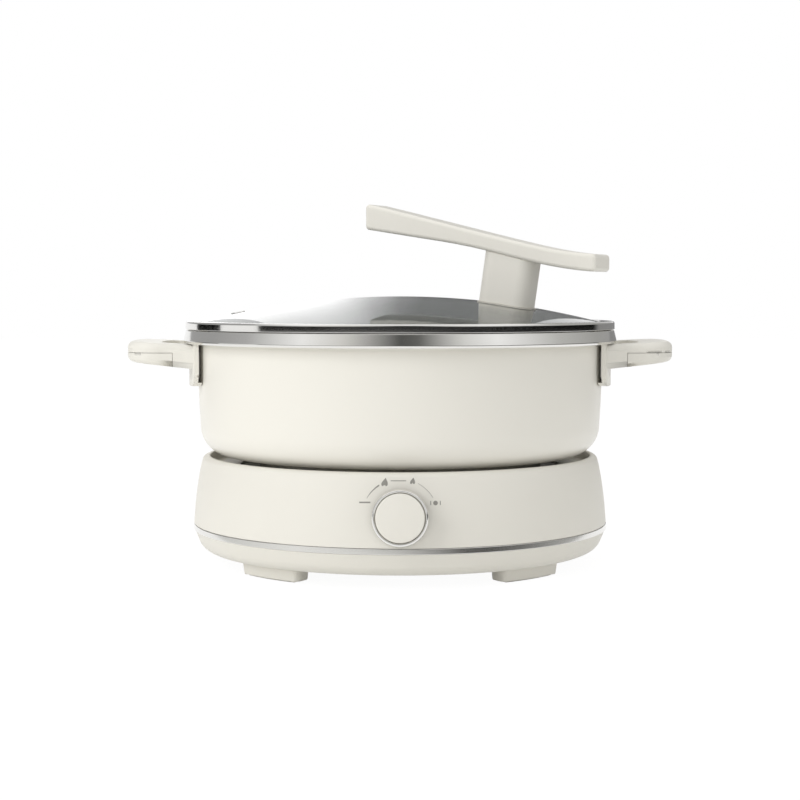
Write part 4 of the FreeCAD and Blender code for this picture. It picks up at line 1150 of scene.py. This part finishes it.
def lid_rim():
    """Thin steel channel that holds the glass, with a skirt that finds the pot."""
    seat_z = BAND_TOP_Z + LID_GAP
    mesh = turned(
        [
            (LID_R, seat_z, 0.3),
            (LID_R, LID_TOP_Z, 1.5),
            (LEDGE_R, LID_TOP_Z, 0.3),
            (LEDGE_R, LID_TOP_Z - LID_SHEET, 0.2),
            (LID_R - LID_SHEET, LID_TOP_Z - LID_SHEET, 0.9),
            (LID_R - LID_SHEET, seat_z + LID_SHEET, 0.2),
            (SKIRT_R - LID_SHEET, seat_z + LID_SHEET, 0.6),
            (SKIRT_R - LID_SHEET, LID_Z, 0.2),
            (SKIRT_R, LID_Z, 0.2),
            (SKIRT_R, seat_z, 0.3),
        ]
    )
    finish_piece(mesh, "lid_steel_rim", "bright_steel", "lid", ["lid_rim"])


GLASS_CROWN_R = 560.0
GLASS_THICK = 3.0
DOME_STEPS = 28


def dome():
    """Tempered glass: two true arcs joined at a rounded rim, turned into a shallow dome."""
    centre_z = GLASS_TOP_Z - GLASS_CROWN_R
    mesh = bmesh.new()
    rims = []
    for radius in (GLASS_CROWN_R, GLASS_CROWN_R - GLASS_THICK):
        apex = mesh.verts.new((0, 0, (centre_z + radius) * MM))
        swept = bmesh.ops.spin(
            mesh,
            geom=[apex],
            cent=(0, 0, centre_z * MM),
            axis=(0, 1, 0),
            angle=math.asin(GLASS_R / radius),
            steps=DOME_STEPS,
        )
        rims.append(swept["geom_last"][0])
    mesh.edges.new(rims)
    for rim in rims:
        bevel(mesh, [rim], 0.9, 3, "VERTICES")
    spun(mesh)
    finish_piece(mesh, "lid_dome", "lid_glass", "lid", ["lid_glass"])


# Stage


CAMERA_Y = -1.2
CAMERA_Z = 0.18615
CAMERA_PITCH = math.radians(3.53)
FOCAL_PIXELS = 1702.0
PHOTO_PIXELS = 800.0
SENSOR_MM = 36.0
AIM = Vector((0, 0, 0.11))


class HOTPOT_OT_stage(bpy.types.Operator):
    """Sets the floor, the lamps, the reflected cards and the camera"""

    bl_idname = "hotpot.stage"
    bl_label = "Stage"

    def execute(self, context):
        camera()
        world()
        floor()
        lamps()
        cards()
        context.scene.view_settings.view_transform = "Standard"
        return {"FINISHED"}


def camera():
    data = bpy.data.cameras.new("photo_camera")
    data.sensor_width = SENSOR_MM
    data.lens = FOCAL_PIXELS / PHOTO_PIXELS * SENSOR_MM
    item = bpy.data.objects.new("photo_camera", data)
    item.location = (0, CAMERA_Y, CAMERA_Z)
    item.rotation_euler = (math.pi / 2 - CAMERA_PITCH, 0, 0)
    bpy.context.scene.collection.objects.link(item)
    bpy.context.scene.camera = item


def seen_directly(tree):
    """1 where a ray comes from the camera, from a reflection or through glass."""
    path = add(tree, "LightPath").outputs
    first = add(
        tree,
        "Math",
        {"operation": "MAXIMUM"},
        {0: path["Is Camera Ray"], 1: path["Is Glossy Ray"]},
    )
    return add(tree, "Math", {"operation": "MAXIMUM"}, {0: first, 1: path["Is Transmission Ray"]})


WORLD_LEVEL = 0.62


def world():
    """White where it is seen, and a plain even light for everything else."""
    item = bpy.data.worlds.new("studio")
    bpy.context.scene.world = item
    item.use_nodes = True
    tree = item.node_tree
    tree.nodes.clear()
    light = add(tree, "Background", {"Color": linear("FFFFFF"), "Strength": WORLD_LEVEL})
    seen = add(tree, "Background", {"Color": linear("FFFFFF"), "Strength": 1.0})
    mixed = add(tree, "MixShader", links={0: seen_directly(tree), 1: light, 2: seen})
    add(tree, "OutputWorld", links={"Surface": mixed})


FLOOR_SIZE = 12.0
FLOOR_WHITE = 0.9
FLOOR_GLOW = 1.06
FLOOR_DROP = 0.0002


def floor():
    """Pale floor, mostly white by itself so that only a faint shadow stays."""
    mesh = bmesh.new()
    bmesh.ops.create_grid(mesh, x_segments=1, y_segments=1, size=FLOOR_SIZE / 2)
    item = stage_object(mesh, "floor")
    item.location = (0, 0, -FLOOR_DROP)
    material, tree, _ = new_material("studio_floor")
    matt = add(tree, "BsdfDiffuse", {"Color": linear("F4F4F2")})
    white = add(tree, "Emission", {"Color": linear("FFFFFF"), "Strength": FLOOR_GLOW})
    share = add(tree, "Math", {"operation": "MULTIPLY", 1: FLOOR_WHITE}, {0: seen_directly(tree)})
    mixed = add(tree, "MixShader", links={0: share, 1: matt, 2: white})
    add(tree, "OutputMaterial", links={"Surface": mixed})
    item.data.materials.append(material)


def stage_object(mesh, name):
    """Object of the stage, made of a bmesh."""
    data = bpy.data.meshes.new(name)
    mesh.to_mesh(data)
    mesh.free()
    item = bpy.data.objects.new(name, data)
    bpy.context.scene.collection.objects.link(item)
    return item


LAMPS = (
    ("left_softbox", (-1.1, -0.9, 0.75), 1.0, 9.0),
    ("right_softbox", (1.3, -0.7, 0.7), 0.8, 1.6),
    ("top_softbox", (0.0, 0.1, 1.5), 1.2, 4.0),
    ("low_front_fill", (0.1, -1.5, 0.12), 0.5, 0.7),
)


def lamps():
    """Large soft lamp at the left, weaker ones at the right, above and low in front."""
    for name, place, size, power in LAMPS:
        data = bpy.data.lights.new(name, "AREA")
        data.size = size
        data.energy = power
        item = bpy.data.objects.new(name, data)
        item.location = place
        item.rotation_euler = (AIM - Vector(place)).to_track_quat("-Z", "Y").to_euler()
        item.visible_glossy = False
        bpy.context.scene.collection.objects.link(item)


CARD_DISTANCE = 2.4
CARD_STEPS = 36


def card(name, rises, tones, level=1.0, distance=CARD_DISTANCE):
    """Curved card that only reflections see.

    Rises are its lower and upper edge in degrees above level, seen from the lid. Tones are its
    greys with their turns in degrees, from -Y towards +X; the first and the last are its ends.
    """
    first, last = tones[0][0], tones[-1][0]
    mesh = bmesh.new()
    side = Matrix.Rotation(math.radians(first), 3, "Z") @ Vector((0, -distance, 0))
    heights = [LID_TOP_Z * MM + distance * math.tan(math.radians(rise)) for rise in rises]
    ends = [mesh.verts.new(side + UP * height) for height in heights]
    mesh.edges.new(ends)
    bmesh.ops.spin(
        mesh,
        geom=mesh.verts[:] + mesh.edges[:],
        cent=(0, 0, 0),
        axis=UP,
        angle=math.radians(last - first),
        steps=CARD_STEPS,
    )
    item = stage_object(mesh, name)
    item.data.materials.append(finished(name + "_paint", blended_greys, tones, level))
    item.visible_camera = False
    item.visible_diffuse = False
    item.visible_transmission = False
    item.visible_shadow = False
    item.visible_volume_scatter = False


def blended_greys(tree, place, tones, level):
    """Greys that blend into one another along a card."""
    first, last = tones[0][0], tones[-1][0]
    half = math.radians(last - first) / 2
    # The card's middle is turned to +Y, so that its angle is 0 there and falls towards its end
    middle = (first + last) / 2
    facing = add(tree, "Mapping", {"Rotation": (0, 0, -math.radians(middle + 180))}, {"Vector": place})
    parts = add(tree, "SeparateXYZ", links={0: facing}).outputs
    angle = add(tree, "Math", {"operation": "ARCTAN2"}, {0: parts["X"], 1: parts["Y"]})
    share = add(tree, "MapRange", {"From Min": half, "From Max": -half}, {"Value": angle})
    ramp = add(tree, "ValToRGB", links={"Fac": share})
    stops = ramp.color_ramp.elements
    for turn, grey in tones[1:-1]:
        stops.new((turn - first) / (last - first)).color = linear(grey)
    stops[0].color = linear(tones[0][1])
    stops[len(stops) - 1].color = linear(tones[-1][1])
    return add(tree, "Emission", {"Strength": level}, {"Color": ramp})


RIM_RISES = (-4.0, 4.6)
TRIM_RISES = (-9.4, -2.4)
TRIM_DISTANCE = 1.0
BAND_RISES = (4.5, 46.0)
DOME_RISES = (0.0, 34.0)
DOME_LEVEL = 2.0
RIM_LEFT_TONES = ((-132, "0A0A0A"), (-105, "0A0A0A"))
RIM_FRONT_TONES = (
    (-76, "040404"), (-40, "040404"), (-30, "303030"), (40, "262626"), (70, "080808"),
    (120, "080808"), (126, "8C8C8C"), (172, "8C8C8C"),
)
TRIM_TONES = (
    (-135, "B4B4B4"), (-100, "D8D8D6"), (-54, "F6F6F4"), (-20, "E8E8E6"), (0, "D2D2D0"),
    (18, "A2A2A0"), (32, "646462"), (44, "5A5A58"), (64, "767674"), (88, "A2A2A0"),
    (135, "BABAB8"),
)
BAND_TONES = (
    (-158, "A4A4A4"), (-112, "A6A6A6"), (-86, "B8B8B8"), (-52, "FFFFFF"), (-30, "E0DFDC"),
    (-14, "A8A8A6"), (0, "585856"), (10, "6A6A68"), (34, "E4E4E2"), (52, "FFFFFF"),
    (90, "C4C4C2"), (124, "A8A8A6"), (158, "A0A0A0"),
)
DOME_TONES = (
    (169, "525252"), (176, "4E4E4E"), (178.5, "525252"), (180, "6C6C6C"), (182, "A6A6A6"),
    (183.6, "D2D2D2"), (185, "E8E8E8"), (187, "F8F8F8"), (191, "FFFFFF"),
)


def cards():
    """Dark and grey cards that the steel and the glass reflect, as a product stage has them."""
    card("rim_card_left", RIM_RISES, RIM_LEFT_TONES)
    card("rim_card_front", RIM_RISES, RIM_FRONT_TONES)
    card("trim_card", TRIM_RISES, TRIM_TONES, distance=TRIM_DISTANCE)
    card("band_card", BAND_RISES, BAND_TONES)
    card("dome_card", DOME_RISES, DOME_TONES, level=DOME_LEVEL)


# Add-on


class HOTPOT_PT_panel(bpy.types.Panel):
    """Lists the steps that build the hot pot"""

    bl_idname = "HOTPOT_PT_panel"
    bl_label = "Hot pot"
    bl_space_type = "VIEW_3D"
    bl_region_type = "UI"
    bl_category = "Hot pot"

    def draw(self, context):
        column = self.layout.column(align=True)
        for step in STEPS:
            column.operator(step.bl_idname)
        for name in ("turn_steps", "soft_edge", "print_height"):
            column.prop(sizes(), name)
        for name in ("shell", "coat", "ink"):
            column.prop(colours(), name)


STEPS = (HOTPOT_OT_materials, HOTPOT_OT_stage, HOTPOT_OT_base, HOTPOT_OT_knob, HOTPOT_OT_pot, HOTPOT_OT_lid)
CLASSES = (HotPotSizes, HotPotColours) + STEPS + (HOTPOT_PT_panel,)


def register():
    for item in CLASSES:
        bpy.utils.register_class(item)
    bpy.types.Scene.hot_pot_sizes = PointerProperty(type=HotPotSizes)
    bpy.types.Scene.hot_pot_colours = PointerProperty(type=HotPotColours)


def unregister():
    del bpy.types.Scene.hot_pot_colours
    del bpy.types.Scene.hot_pot_sizes
    for item in reversed(CLASSES):
        bpy.utils.unregister_class(item)


def main():
    register()
    for step in STEPS:
        getattr(bpy.ops.hotpot, step.bl_idname.split(".")[1])()


if __name__ == "__main__":
    main()
